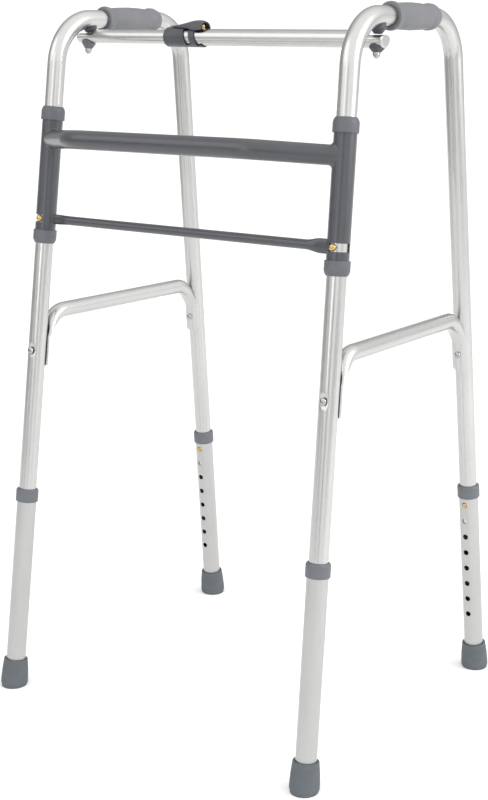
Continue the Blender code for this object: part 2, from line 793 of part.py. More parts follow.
def build_outer_bar():
    stations = [OUTER_BAR_LEFT, OUTER_FLAT_START, OUTER_FLAT_FULL, OUTER_BAR_RIGHT]
    bar = tube_mesh("top_bar_outer", [bar_line(x) for x in stations], OUTER_BAR_RADIUS, aluminium)
    flatten_end(bar, OUTER_FLAT_START, OUTER_FLAT_FULL)
    stations[0] -= 0.01
    stations[-1] -= BAR_END_WALL
    bore = tube_mesh("outer_bar_bore", [bar_line(x) for x in stations], OUTER_BAR_BORE, None, cutters)
    flatten_end(bore, OUTER_FLAT_START, OUTER_FLAT_FULL)
    cut(bar, as_cutter(bore))
    cut(bar, peg_cutter(
        "outer_bar_button_hole", bar_line(BAR_BUTTON_X), bar_up(), BAR_BUTTON_RADIUS + GAP, 0.006, 0.016))
    cut(bar, peg_cutter(
        "outer_bar_bolt_hole", pivot_point("right", BAR_HEIGHT["right"]), LEGS["front_right"].direction,
        PIVOT_RADIUS + GAP, -0.016, 0.016))
    return set_origin(bar, bar_line(OUTER_BAR_RIGHT))


def build_inner_bar(axis):
    stations = [INNER_BAR_LEFT, INNER_FLAT_FULL, INNER_FLAT_START, INNER_BAR_RIGHT]
    bar = tube_mesh("top_bar_inner", [bar_line(x) for x in stations], INNER_BAR_RADIUS, aluminium)
    flatten_end(bar, INNER_FLAT_START, INNER_FLAT_FULL)
    stations[0] += BAR_END_WALL
    stations[-1] += 0.01
    bore = tube_mesh("inner_bar_bore", [bar_line(x) for x in stations], INNER_BAR_BORE, None, cutters)
    flatten_end(bore, INNER_FLAT_START, INNER_FLAT_FULL)
    cut(bar, as_cutter(bore))
    cut(bar, peg_cutter(
        "inner_bar_button_hole", bar_line(BAR_BUTTON_X), bar_up(), BAR_BUTTON_RADIUS + 2.0 * GAP, 0.004, 0.016))
    cut(bar, peg_cutter(
        "inner_bar_bolt_hole", pivot_point("left", BAR_HEIGHT["left"]), LEGS["front_left"].direction,
        PIVOT_RADIUS + 2.0 * GAP, -0.016, 0.016))
    return set_origin(bar, axis.location, axis)


def build_pivot_hardware(side, axis):
    """The bolt, saddle, cup washer and dome nut that hang the top bar under one handle."""
    leg = LEGS["front_" + side]
    direction = leg.direction
    handle = handle_point(side, PIVOT_SETBACK)
    bar_radius = OUTER_BAR_RADIUS if side == "right" else INNER_BAR_RADIUS
    bar_height = BAR_HEIGHT[side]
    bar_top = bar_height + bar_radius * BAR_END_SQUASH
    centre = pivot_point(side, bar_height)
    carrier = axis if side == "left" else None
    if side == "left":
        head_under = (handle.z - FRAME_BORE + 0.0017 - bar_height) / direction.z
    else:
        head_under = (bar_top - OUTER_BAR_RADIUS + OUTER_BAR_BORE - 0.0024 - bar_height) / direction.z
    tip = -(bar_height - CUP_BOTTOM[side]) - 0.0050
    bolt = turned(
        f"pivot_bolt_{side}",
        [(0.0, head_under + PIVOT_HEAD_HEIGHT), (PIVOT_HEAD_RADIUS, head_under + PIVOT_HEAD_HEIGHT * 0.6),
         (PIVOT_HEAD_RADIUS, head_under), (PIVOT_RADIUS, head_under), (PIVOT_RADIUS, tip), (0.0, tip)],
        steel, SMALL_STEPS)
    place(bolt, centre, direction, Y_AXIS, carrier)

    foot_gap = GAP if side == "left" else 2.0 * GAP
    foot = (bar_top + foot_gap + SADDLE_FOOT_RADIUS * 0.13 - bar_height) / direction.z
    top = (HANDLE_HEIGHT - 0.0085 - bar_height) / direction.z
    waist = foot + (top - foot) * 0.45
    profile = [(SADDLE_TOP_RADIUS, top), (SADDLE_TOP_RADIUS, waist), (SADDLE_FOOT_RADIUS, foot)]
    if side == "left":
        profile += [(PIVOT_RADIUS + GAP, foot), (PIVOT_RADIUS + GAP, top)]
    else:
        profile = [(0.0, top)] + profile + [(0.0, foot)]
    saddle = turned(f"bar_saddle_{side}", profile, dark_plastic, TURN_STEPS, closed=side == "left")
    place(saddle, centre, direction, Y_AXIS, axis)
    clearance = tube_mesh(
        f"handle_clearance_{side}", frame_path(side), FRAME_RADIUS + GAP, None, cutters)
    cut(saddle, as_cutter(clearance))

    cup_top = -bar_radius * 0.62
    cup_bottom = CUP_BOTTOM[side] - bar_height
    cup = turned(
        f"cup_washer_{side}",
        [(CUP_RADIUS, cup_top), (CUP_RADIUS, cup_top - 0.0050), (CUP_FOOT_RADIUS, cup_bottom),
         (PIVOT_RADIUS + GAP, cup_bottom), (PIVOT_RADIUS + GAP, cup_top)],
        dark_plastic if side == "right" else grey_plastic, TURN_STEPS, closed=True)
    place(cup, centre, direction, Y_AXIS, None)
    hollow = tube_mesh(
        f"bar_clearance_{side}", [bar_line(-0.3), bar_line(0.3)], bar_radius + GAP, None, cutters)
    cut(cup, as_cutter(hollow))

    nut_top = cup_bottom - GAP
    rim = nut_top - DOME_NUT_HEIGHT * 0.45
    rise = DOME_NUT_HEIGHT * 0.55
    socket = nut_top - 0.0050 - GAP
    dome = [
        (DOME_NUT_RADIUS * math.cos(angle), rim - rise * math.sin(angle))
        for angle in (0.0, math.pi / 6.0, math.pi / 3.0)
    ]
    bore = [(0.0, socket), (PIVOT_RADIUS + GAP, socket), (PIVOT_RADIUS + GAP, nut_top)]
    profile = bore + [(DOME_NUT_RADIUS, nut_top)] + dome + [(0.0, rim - rise)]
    nut = turned(f"dome_nut_{side}", profile, steel, SMALL_STEPS)
    place(nut, centre, direction, Y_AXIS, carrier)


def build_clip():
    """A moulded clip on the outer bar's mouth: a collar, a window and a ring on one bottom strap."""
    length = CLIP_RING_RIGHT - CLIP_LEFT
    bevel = 0.0015
    profile = [
        (CLIP_RADIUS, length),
        (CLIP_RADIUS, 2.0 * bevel),
        (CLIP_RADIUS - 2.0 * bevel, 0.0),
        (INNER_BAR_RADIUS + GAP, 0.0),
        (INNER_BAR_RADIUS + GAP, OUTER_BAR_LEFT - GAP - CLIP_LEFT),
        (OUTER_BAR_RADIUS + GAP, OUTER_BAR_LEFT - GAP - CLIP_LEFT),
        (OUTER_BAR_RADIUS + GAP, length),
    ]
    clip = turned("bar_clip", profile, dark_plastic, closed=True)
    place(clip, bar_line(CLIP_LEFT), bar_way(), Z_AXIS)
    window = (CLIP_RING_LEFT + CLIP_COLLAR_RIGHT) / 2.0
    window_size = (CLIP_RING_LEFT - CLIP_COLLAR_RIGHT, 0.040, 0.040)
    window_centre = bar_line(window) + bar_up() * (CLIP_STRAP_TOP + window_size[2] / 2.0)
    cut(clip, box_cutter("clip_window", window_centre, window_size))
    notch = bar_line(BAR_BUTTON_X + 0.004) + bar_up() * CLIP_RADIUS
    cut(clip, box_cutter("clip_notch", notch, CLIP_NOTCH))


def build_lever():
    """The clip's thumb lever: a tongue that rises to a hood over the bar's button. It hinges at its root."""
    outline = [
        (-0.0870, 0.0138), (-0.0870, 0.0152), (-0.0620, 0.0200), (-0.0510, 0.0226), (-0.0440, 0.0232),
        (-0.0360, 0.0230), (-0.0290, 0.0208), (-0.0250, 0.0170), (-0.0262, 0.0168), (-0.0300, 0.0200),
        (-0.0370, 0.0214), (-0.0440, 0.0214), (-0.0500, 0.0200), (-0.0620, 0.0175),
    ]
    outline = [(x - LEVER_HINGE_X, z - LEVER_HINGE_RISE) for x, z in outline]
    lever = plate_mesh("bar_lever", outline, LEVER_WIDTH, dark_plastic)
    place(lever, bar_line(LEVER_HINGE_X) + bar_up() * LEVER_HINGE_RISE, -Y_AXIS, bar_way())


def build_bar_button(axis):
    button = turned(
        "bar_button", button_profile(BAR_BUTTON_RADIUS, BAR_BUTTON_BOTTOM, BAR_BUTTON_TOP), brass, SMALL_STEPS)
    place(button, bar_line(BAR_BUTTON_X), bar_up(), X_AXIS)
    build_spring(
        "bar_spring", bar_line(BAR_BUTTON_X), bar_way(), bar_up(),
        INNER_BAR_RADIUS + GAP - BUTTON_TRAVEL - 0.0008, 0.0072, 0.035, axis)


def build_walking_frame():
    for side in SIDES:
        axis = new_axis(f"fold_axis_{side}", LEGS["front_" + side].foot)
        build_sleeve(side)
        build_sleeve_collar(side, "upper")
        build_sleeve_collar(side, "lower")
        build_side_frame(side, axis)
        build_grip(side, axis)
        build_brace(side, axis)
        build_sleeve_button(side, axis)
        build_pivot_hardware(side, axis)
        for row in ("front", "rear"):
            leg = LEGS[f"{row}_{side}"]
            build_brace_fastener(leg, axis)
            build_lower_tube(leg)
            build_leg_collar(leg)
            build_foot(leg)
            build_leg_button(leg, axis)
    build_upper_crossbar()
    build_lower_crossbar()
    bar_axis = new_axis("bar_pivot_axis", pivot_point("left", BAR_HEIGHT["left"]))
    build_inner_bar(bar_axis)
    build_outer_bar()
    build_clip()
    build_lever()
    build_bar_button(bar_axis)


clear_scene()
parts = new_collection(OBJECT_NAME)
cutters = new_collection("cutters")
aluminium = new_material("aluminium", (0.72, 0.73, 0.72), 0.32, 0.9)
grey_paint = new_material("grey_paint", (0.10, 0.115, 0.13), 0.25)
sleeve_plastic = new_material("sleeve_plastic", (0.13, 0.14, 0.16), 0.5)
grey_plastic = new_material("grey_plastic", (0.22, 0.23, 0.26), 0.5)
foot_rubber = new_material("foot_rubber", (0.21, 0.24, 0.27), 0.65)
grip_rubber = new_material("grip_rubber", (0.37, 0.37, 0.40), 0.6)
dark_plastic = new_material("dark_plastic", (0.09, 0.095, 0.11), 0.45)
brass = new_material("brass", (0.55, 0.34, 0.10), 0.25, 1.0)
steel = new_material("steel", (0.60, 0.60, 0.60), 0.25, 1.0)
spring_steel = new_material("spring_steel", (0.45, 0.45, 0.46), 0.35, 1.0)
LEGS = {f"{row}_{side}": Leg(side, row) for row in ("front", "rear") for side in SIDES}
floor_cutter = box_cutter("floor_cutter", (0.0, 0.0, -0.5), (1.0, 1.0, 1.0))
build_walking_frame()
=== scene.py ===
"""The looks of the folding walking frame: fine meshes over its CAD parts, materials and a plain studio.

Metres, +Z up. The person stands at +Y and walks towards -Y. Left is -X and right is +X.
"""

import json
import math

import bmesh
import bpy
from mathutils import Matrix, Vector


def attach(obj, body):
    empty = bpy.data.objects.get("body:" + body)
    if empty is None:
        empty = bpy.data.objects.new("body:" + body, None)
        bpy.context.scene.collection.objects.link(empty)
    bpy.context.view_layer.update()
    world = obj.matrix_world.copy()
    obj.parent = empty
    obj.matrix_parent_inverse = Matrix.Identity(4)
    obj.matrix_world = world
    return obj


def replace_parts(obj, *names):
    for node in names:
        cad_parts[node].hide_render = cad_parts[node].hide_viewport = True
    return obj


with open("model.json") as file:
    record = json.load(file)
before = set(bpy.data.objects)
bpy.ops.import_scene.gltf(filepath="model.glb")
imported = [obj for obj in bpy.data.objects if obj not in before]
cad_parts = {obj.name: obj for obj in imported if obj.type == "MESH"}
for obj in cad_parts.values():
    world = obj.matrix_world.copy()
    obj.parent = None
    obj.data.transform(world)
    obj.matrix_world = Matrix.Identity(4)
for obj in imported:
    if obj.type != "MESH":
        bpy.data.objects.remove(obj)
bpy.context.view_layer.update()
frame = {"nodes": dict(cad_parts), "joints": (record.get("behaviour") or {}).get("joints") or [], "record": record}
record = frame["record"]

X_AXIS = Vector((1.0, 0.0, 0.0))
Y_AXIS = Vector((0.0, 1.0, 0.0))
Z_AXIS = Vector((0.0, 0.0, 1.0))
SIDES = {"left": -1.0, "right": 1.0}
ROWS = ("front", "rear")
GAP = 0.0003

# Sizes from the CAD's design: heights above the floor, and a bar's ends as values of X
FRAME_RADIUS = 0.0127
FRAME_BORE = 0.0114
FRAME_LOWER_END = 0.230
HANDLE_HEIGHT = 0.966
FRONT_BEND_RADIUS = 0.068
REAR_BEND_RADIUS = 0.060
GRIP_FRONT = -0.033
GRIP_LENGTH = 0.113
BRACE_HEIGHT = 0.555
BRACE_RADIUS = 0.0111
BRACE_END_HEIGHT = 0.4805
BRACE_BOLT_HEIGHT = 0.503
BRACE_FLAT_TOP = 0.520
BRACE_PLATE = 0.0046
BRACE_PLATE_WIDTH = 0.027
BRACE_FRONT_BEND = 0.036
BRACE_REAR_BEND = 0.029
BRACE_SETBACK = 0.026
DIMPLE_HALF_WIDTH = 0.0078
DIMPLE_HALF_HEIGHT = 0.0115
DIMPLE_DEPTH = 0.0011
BOLT_RADIUS = 0.0025
BOLT_HEAD_RADIUS = 0.0050
BOLT_HEAD_HEIGHT = 0.0030
LOWER_RADIUS = 0.0141
LOWER_BORE = 0.0132
LOWER_TOP_HEIGHT = 0.2965
HOLE_PITCH = 0.0254
HOLE_COUNT = 8
TOP_HOLE_HEIGHT = 0.2705
LEG_HOLE_RADIUS = 0.0041
LEG_BUTTON_RADIUS = 0.0037
COLLAR_RADIUS = 0.0163
COLLAR_BOTTOM = 0.2806
COLLAR_HEIGHT = 0.0196
FOOT_HEIGHT = 0.0410
FOOT_TOP_RADIUS = 0.0174
FOOT_BASE_RADIUS = 0.0199
FOOT_SOLE = 0.0062
SLEEVE_RADIUS = 0.0145
SLEEVE_BORE = 0.0134
SLEEVE_BOTTOM = 0.6600
SLEEVE_TOP = 0.8430
SLEEVE_COLLAR_RADIUS = 0.0165
SLEEVE_COLLAR_HEIGHT = 0.0190
SLEEVE_COLLAR_LIP = 0.0030
SLEEVE_BUTTON_RADIUS = 0.0047
SLEEVE_BUTTON_HEIGHT = 0.691
SLOT_HEIGHT = 0.0106
SLOT_SWEEP = math.radians(122.0)
SLOT_START = math.radians(-21.0)
UPPER_BAR_RADIUS = 0.0127
UPPER_BAR_BORE = 0.0112
UPPER_BAR_HEIGHT = 0.8005
UPPER_BAR_FRONT = -0.205
UPPER_BAR_HALF_STRAIGHT = 0.145
UPPER_BAR_BEND = 0.060
LOWER_BAR_RADIUS = 0.00635
LOWER_BAR_HEIGHT = 0.691
PADDLE_HEIGHT = {"left": 0.0140, "right": 0.0190}
PADDLE_THICKNESS = 0.0052
PADDLE_LENGTH = 0.026
PADDLE_START = 0.0165
UPPER_WELD = 0.0055
LOWER_WELD = 0.0030
BAR_HEIGHT = {"left": 0.9425, "right": 0.9380}
OUTER_BAR_RADIUS = 0.0111
OUTER_BAR_BORE = 0.0100
INNER_BAR_RADIUS = 0.0095
INNER_BAR_BORE = 0.0083
OUTER_BAR_LEFT = -0.0915
OUTER_BAR_RIGHT = 0.2530
INNER_BAR_LEFT = -0.2580
INNER_BAR_RIGHT = 0.0930
OUTER_FLAT_START = 0.2140
OUTER_FLAT_FULL = 0.2230
INNER_FLAT_START = -0.2215
INNER_FLAT_FULL = -0.2305
TOP_BAR_SPAN = (-0.30, 0.30)
BAR_END_SQUASH = 0.45
BAR_END_WALL = 0.0015
BAR_BUTTON_RADIUS = 0.0036
BAR_BUTTON_X = -0.0345
BAR_BUTTON_BOTTOM = 0.0108
BAR_BUTTON_TOP = 0.0178
PIVOT_SETBACK = -0.058
PIVOT_RADIUS = 0.0030
SADDLE_TOP_RADIUS = 0.0098
SADDLE_FOOT_RADIUS = 0.0052
SADDLE_DROP = 0.0085
SADDLE_FOOT_GAP = {"left": 0.0005, "right": 0.0013}
CUP_RADIUS = 0.0098
CUP_FOOT_RADIUS = 0.0056
CUP_BOTTOM = {"left": 0.9255, "right": 0.9220}
DOME_NUT_RADIUS = 0.0046
DOME_NUT_HEIGHT = 0.0075
CLIP_RADIUS = 0.0132
CLIP_LEFT = -0.0945
CLIP_COLLAR_RIGHT = -0.0570
CLIP_RING_LEFT = -0.0480
CLIP_RING_RIGHT = -0.0310
CLIP_STRAP_TOP = -0.0105
CLIP_TOE_LEFT = -0.0425
CLIP_TOE_RISE = 0.0015
CLIP_SLANT = 0.22
CLIP_WINDOW_SHIFT = -0.0035
LEVER_WALL = 0.0012

# Where a hole through one wall of a tube starts and ends, from the tube's axis
DRILL = (0.006, 0.020)

# How finely round pieces are made
TUBE_SIDES = 48
BEND_STEPS = 20
TURN_STEPS = 64
SMALL_STEPS = 32
HOLE_STEPS = 24
ARC_STEPS = 5


# Places from the CAD record

BODY_OF = {node: body for body, nodes in record["behaviour"]["bodies"].items() for node in nodes}
SLOT_OF = {part["node"]: part["material_slot"] for part in record["subparts"]}
MOUNTS = {mount["name"]: Vector(mount["pos_m"]) for mount in record["mounts"]}
JOINTS = {joint["name"]: joint for joint in frame["joints"]}


class Leg:
    """One leg's axis: its point on the floor, its direction, and the way to the other leg of its side."""

    def __init__(self, side, row):
        self.row = row
        self.name = f"{row}_{side}"
        self.foot = MOUNTS[f"sole_{self.name}"]
        self.direction = Vector(JOINTS[f"leg_slide_{self.name}"]["axis"]).normalized()
        self.inward = Vector(JOINTS[f"leg_button_press_{self.name}"]["axis"]).normalized()

    def at(self, height):
        return self.foot + self.direction * (height / self.direction.z)


LEGS = {f"{row}_{side}": Leg(side, row) for row in ROWS for side in SIDES}
LEFT_PIVOT = Vector(JOINTS["bar_turn"]["pos_m"])
BAR_WAY = -Vector(JOINTS["bar_slide"]["axis"]).normalized()
BAR_UP = Vector(JOINTS["bar_button_press"]["axis"]).normalized()


def bar_line(x):
    """The point of the top bar's axis at X = x."""
    return LEFT_PIVOT + BAR_WAY * ((x - LEFT_PIVOT.x) / BAR_WAY.x)


def handle_line(side):
    """The handle's point at Y = 0 and its direction, towards +Y."""
    start = LEGS["front_" + side].at(HANDLE_HEIGHT)
    direction = (LEGS["rear_" + side].at(HANDLE_HEIGHT) - start).normalized()
    return start - direction * (start.y / direction.y), direction


def handle_point(side, y):
    middle, direction = handle_line(side)
    return middle + direction * (y / direction.y)


def pivot_point(side, height):
    """A point of the bar's bolt axis on one side."""
    handle = handle_point(side, PIVOT_SETBACK)
    direction = LEGS["front_" + side].direction
    return handle + direction * ((height - handle.z) / direction.z)


def axes_at(point, z_axis, x_axis=X_AXIS):
    """A matrix whose origin is the point and whose Z and X follow the given directions."""
    z = Vector(z_axis).normalized()
    y = z.cross(Vector(x_axis)).normalized()
    x = y.cross(z)
    matrix = Matrix((x, y, z)).transposed().to_4x4()
    matrix.translation = Vector(point)
    return matrix


# Mesh tools

def arc_points(start, corner, end, radius, steps):
    """The points of a round bend of the given radius that replaces a corner."""
    back = (start - corner).normalized()
    ahead = (end - corner).normalized()
    half = back.angle(ahead) / 2.0
    centre = corner + (back + ahead).normalized() * radius / math.sin(half)
    first = corner + back * radius / math.tan(half) - centre
    last = corner + ahead * radius / math.tan(half) - centre
    return [centre + first.slerp(last, i / steps).normalized() * radius for i in range(steps + 1)]


def between(start, end, spacing):
    """The points between two others, spaced at a share of their distance."""
    return [start.lerp(end, step) for step in stations(0.0, 1.0, spacing)[1:-1]]


def rounded(corners, closed=False):
    """A profile of (radius, height) points from corners (radius, height, fillet)."""
    points = [Vector((corner[0], corner[1], 0.0)) for corner in corners]
    profile = []
    count = len(points)
    for i, (r, h, fillet) in enumerate(corners):
        at_end = not closed and i in (0, count - 1)
        if fillet and not at_end:
            arc = arc_points(points[i - 1], points[i], points[(i + 1) % count], fillet, ARC_STEPS)
            profile += [(p.x, p.y) for p in arc]
        else:
            profile.append((r, h))
    return profile


def turned(profile, steps=TURN_STEPS, closed=False):
    """A profile of (radius, height) points turned once round Z."""
    mesh = bmesh.new()
    verts = [mesh.verts.new((r, 0.0, h)) for r, h in profile]
    edges = [mesh.edges.new(pair) for pair in zip(verts, verts[1:])]
    if closed:
        edges.append(mesh.edges.new((verts[-1], verts[0])))
    bmesh.ops.spin(
        mesh, geom=verts + edges, cent=(0.0, 0.0, 0.0), axis=Z_AXIS, angle=2.0 * math.pi, steps=steps)
    bmesh.ops.remove_doubles(mesh, verts=mesh.verts, dist=0.000001)
    bmesh.ops.recalc_face_normals(mesh, faces=mesh.faces)
    return mesh


def lathed(corners):
    """A closed outline of (radius, height, fillet) corners turned once round Z."""
    return turned(rounded(corners, closed=True), closed=True)


def dome(radius, base, rise, steps, power=1.0):
    """A domed profile from its crown on the axis to its rim."""
    turns = [math.pi / 2.0 * i / steps for i in range(steps + 1)]
    return [(radius * math.sin(turn), base + rise * math.cos(turn) ** power) for turn in turns]


def skinned(rings, closed=False):
    """A skin over rings of points. Its ends are capped, or joined to each other if it is closed."""
    mesh = bmesh.new()
    rows = [[mesh.verts.new(point) for point in ring] for ring in rings]
    count = len(rows[0])
    pairs = list(zip(rows, rows[1:]))
    if closed:
        pairs.append((rows[-1], rows[0]))
    for lower, upper in pairs:
        for i in range(count):
            j = (i + 1) % count
            mesh.faces.new((lower[i], lower[j], upper[j], upper[i]))
    if not closed:
        mesh.faces.new(list(reversed(rows[0])))
        mesh.faces.new(rows[-1])
    bmesh.ops.recalc_face_normals(mesh, faces=mesh.faces)
    return mesh


def along_path(path, i):
    before = path[max(i - 1, 0)]
    after = path[min(i + 1, len(path) - 1)]
    return (after - before).normalized()


def even_turns(count):
    return [2.0 * math.pi * i / count for i in range(count)]


def oval(half_width, half_height):
    """The offsets of an oval section's points, as (forward or back, up or down)."""
    return [(half_width * math.cos(turn), half_height * math.sin(turn)) for turn in even_turns(TURN_STEPS)]


def ring_at(point, along, reference, radius):
    """A round ring about a point, square to the path."""
    first = (reference - along * reference.dot(along)).normalized()
    second = along.cross(first)
    return [
        point + (first * math.cos(turn) + second * math.sin(turn)) * radius
        for turn in even_turns(TUBE_SIDES)]


def rings_along(path, radius, reference):
    return [ring_at(point, along_path(path, i), reference, radius) for i, point in enumerate(path)]


def hollow_tube(path, radius, bore, reference):
    """A round tube along a path, open at both ends, with flat ends."""
    inner = rings_along(path, bore, reference)
    return skinned(rings_along(path, radius, reference) + list(reversed(inner)), closed=True)


def solid_tube(path, radius, reference):
    return skinned(rings_along(path, radius, reference))


def straight_tube(length, radius, bore, spacing):
    """An open tube from the origin up Z, with rings of points at about the given spacing."""
    heights = stations(0.0, length, spacing)
    return turned([(radius, h) for h in reversed(heights)] + [(bore, h) for h in heights], closed=True)


def stations(start, end, spacing):
    """Values from start to end, evenly spaced at about the given spacing."""
    count = max(1, round(abs(end - start) / spacing))
    return [start + (end - start) * i / count for i in range(count + 1)]


def peg(point, direction, radius, start, end, steps=HOLE_STEPS):
    """A round cutting tool along a direction, between two distances from the point."""
    side = X_AXIS if abs(Vector(direction).normalized().x) < 0.9 else Y_AXIS
    mesh = turned([(0.0, end), (radius, end), (radius, start), (0.0, start)], steps)
    return object_of("tool", mesh, axes_at(point, direction, side))


def block(centre, size, way, up):
    """A box-shaped cutting tool with its length along one direction and its height along another."""
    mesh = bmesh.new()
    bmesh.ops.create_cube(mesh, size=1.0)
    bmesh.ops.scale(mesh, vec=size, verts=mesh.verts)
    return object_of("tool", mesh, axes_at(centre, up, way))


def object_of(name, mesh, matrix=None):
    """An object in the scene that holds the mesh."""
    data = bpy.data.meshes.new(name)
    mesh.to_mesh(data)
    mesh.free()
    obj = bpy.data.objects.new(name, data)
    bpy.context.scene.collection.objects.link(obj)
    obj.matrix_world = matrix or Matrix.Identity(4)
    return obj


def ease(value):
    value = min(max(value, 0.0), 1.0)
    return value * value * (3.0 - 2.0 * value)


# Putting pieces on the frame

def carve(obj, tools):
    """Cuts the tools out of the object's mesh for good, and removes them."""
    for tool in tools:
        boolean = obj.modifiers.new("cut", "BOOLEAN")
        boolean.solver = "EXACT"
        boolean.object = tool
    depsgraph = bpy.context.evaluated_depsgraph_get()
    data = bpy.data.meshes.new_from_object(obj.evaluated_get(depsgraph))
    obj.modifiers.clear()
    obj.data = data
    for tool in tools:
        bpy.data.objects.remove(tool, do_unlink=True)


def add_flow(obj, path=None, reference=X_AXIS):
    """Stores each point as (across, across, along): the grain of a drawn or moulded surface runs along it.

    Without a path it follows the object's own Z.
    """
    flow = obj.data.attributes.new("flow", "FLOAT_VECTOR", "POINT")
    if path is None:
        for item, vertex in zip(flow.data, obj.data.vertices):
            item.vector = vertex.co
        return
    lengths = [0.0]
    for a, b in zip(path, path[1:]):
        lengths.append(lengths[-1] + (b - a).length)
    for item, vertex in zip(flow.data, obj.data.vertices):
        point = obj.matrix_world @ vertex.co
        i = min(range(len(path)), key=lambda k: (path[k] - point).length_squared)
        along = along_path(path, i)
        first = (reference - along * reference.dot(along)).normalized()
        offset = point - path[i]
        item.vector = (offset.dot(first), offset.dot(along.cross(first)), lengths[i] + offset.dot(along))


def add_piece(
        name, mesh, body, material, slot, matrix=None, tools=(), path=None, reference=X_AXIS, angle=35.0):
    """A finished piece that rides on a CAD body. Its edges sharper than the angle stay sharp."""
    obj = object_of(name, mesh, matrix)
    obj.data.materials.append(material)
    if tools:
        bpy.context.view_layer.update()
        carve(obj, tools)
    obj.data.shade_smooth()
    obj.data.set_sharp_from_angle(angle=math.radians(angle))
    add_flow(obj, path, reference)
    obj.data.transform(obj.matrix_world)
    obj.matrix_world = Matrix.Identity(4)
    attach(obj, body)
    return obj


def add_skin(node, mesh, matrix=None, material=None, **facts):
    """A fine piece that stands for one CAD node, on that node's body and with the material of its slot."""
    slot = SLOT_OF[node]
    piece = add_piece(
        node + "_skin", mesh, BODY_OF[node], material or MATERIALS[slot], slot, matrix=matrix, **facts)
    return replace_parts(piece, node)


# Materials

def plain_material(name, color, roughness, metallic=0.0, specular=0.5):
    """A material with its shader's constant values set."""
    material = bpy.data.materials.new(name)
    material.use_nodes = True
    shader = material.node_tree.nodes["Principled BSDF"]
    set_values(shader, {
        "Base Color": (*color, 1.0), "Roughness": roughness, "Metallic": metallic,
        "Specular IOR Level": specular})
    return material, shader


def new_material(name, color, roughness, **facts):
    """A plain material with its node tree and the flow coordinates ready to use."""
    material, shader = plain_material(name, color, roughness, **facts)
    flow = material.node_tree.nodes.new("ShaderNodeAttribute")
    flow.attribute_name = "flow"
    return material, material.node_tree, shader, flow.outputs["Vector"]


def set_values(node, values):
    for name, value in values.items():
        node.inputs[name].default_value = value


def noise(tree, vector, scale, detail=3.0, stretch=(1.0, 1.0, 1.0), roughness=0.5):
    """A noise value over the flow coordinates, stretched along the grain."""
    mapping = tree.nodes.new("ShaderNodeMapping")
    set_values(mapping, {"Scale": stretch})
    texture = tree.nodes.new("ShaderNodeTexNoise")
    set_values(texture, {"Scale": scale, "Detail": detail, "Roughness": roughness})
    tree.links.new(vector, mapping.inputs["Vector"])
    tree.links.new(mapping.outputs["Vector"], texture.inputs["Vector"])
    return texture.outputs["Fac"]


def map_range(tree, value, source, target, kind="LINEAR"):
    """Maps a value from one range, (low, high), onto another."""
    node = tree.nodes.new("ShaderNodeMapRange")
    node.interpolation_type = kind
    set_values(node, {
        "From Min": source[0], "From Max": source[1], "To Min": target[0], "To Max": target[1]})
    tree.links.new(value, node.inputs["Value"])
    return node.outputs["Result"]


def spread(tree, value, low, high):
    """Maps the middle of a noise value's range onto another range."""
    return map_range(tree, value, (0.3, 0.7), (low, high))


def tint(tree, value, dark, light):
    """Mixes two colours by a value from 0 to 1."""
    node = tree.nodes.new("ShaderNodeMix")
    node.data_type = "RGBA"
    set_values(node, {"A": (*dark, 1.0), "B": (*light, 1.0)})
    tree.links.new(value, node.inputs["Factor"])
    return node.outputs["Result"]


def cloudy(tree, shader, clouds, dark, light):
    """Colours the surface from dark to light by a noise value."""
    tree.links.new(tint(tree, spread(tree, clouds, 0.0, 1.0), dark, light), shader.inputs["Base Color"])


def bump(tree, height, strength, distance, normal=None):
    node = tree.nodes.new("ShaderNodeBump")
    set_values(node, {"Strength": strength, "Distance": distance})
    tree.links.new(height, node.inputs["Height"])
    if normal:
        tree.links.new(normal, node.inputs["Normal"])
    return node.outputs["Normal"]


def drawn_aluminium(name, dark, light, rough_low, rough_high):
    """Satin drawn tube: fine lines along the grain, with slow cloudy changes of tone and gloss."""
    material, tree, shader, flow = new_material(name, light, rough_high, metallic=1.0)
    lines = noise(tree, flow, 3200.0, 4.0, (1.0, 1.0, 0.010), 0.6)
    clouds = noise(tree, flow, 28.0, 3.0, (1.0, 1.0, 0.4))
    cloudy(tree, shader, clouds, dark, light)
    tree.links.new(spread(tree, lines, rough_low, rough_high), shader.inputs["Roughness"])
    tree.links.new(bump(tree, lines, 0.010, 0.00004), shader.inputs["Normal"])
    return material


def powder_coat(name, dark, light):
    """Glossy powder coat with the slight orange peel that breaks up its highlights."""
    material, tree, shader, flow = new_material(name, light, 0.30, specular=0.45)
    set_values(shader, {"Coat Weight": 0.5, "Coat Roughness": 0.20})
    peel = noise(tree, flow, 300.0, 0.5)
    waves = noise(tree, flow, 80.0, 0.5)
    cloudy(tree, shader, waves, dark, light)
    tree.links.new(spread(tree, peel, 0.30, 0.36), shader.inputs["Roughness"])
    normal = bump(tree, waves, 0.2, 0.0005)
    normal = bump(tree, peel, 0.12, 0.00020, normal)
    tree.links.new(normal, shader.inputs["Normal"])
    tree.links.new(normal, shader.inputs["Coat Normal"])
    return material


def moulded(name, dark, light, roughness, grain, depth):
    """Moulded plastic, vinyl or rubber with a fine pitted grain and slightly uneven tone."""
    material, tree, shader, flow = new_material(name, light, roughness, specular=0.4)
    pits = noise(tree, flow, grain, 4.0)
    clouds = noise(tree, flow, 45.0, 3.0)
    cloudy(tree, shader, clouds, dark, light)
    tree.links.new(spread(tree, pits, roughness - 0.06, roughness + 0.08), shader.inputs["Roughness"])
    tree.links.new(bump(tree, pits, 0.5, depth), shader.inputs["Normal"])
    return material


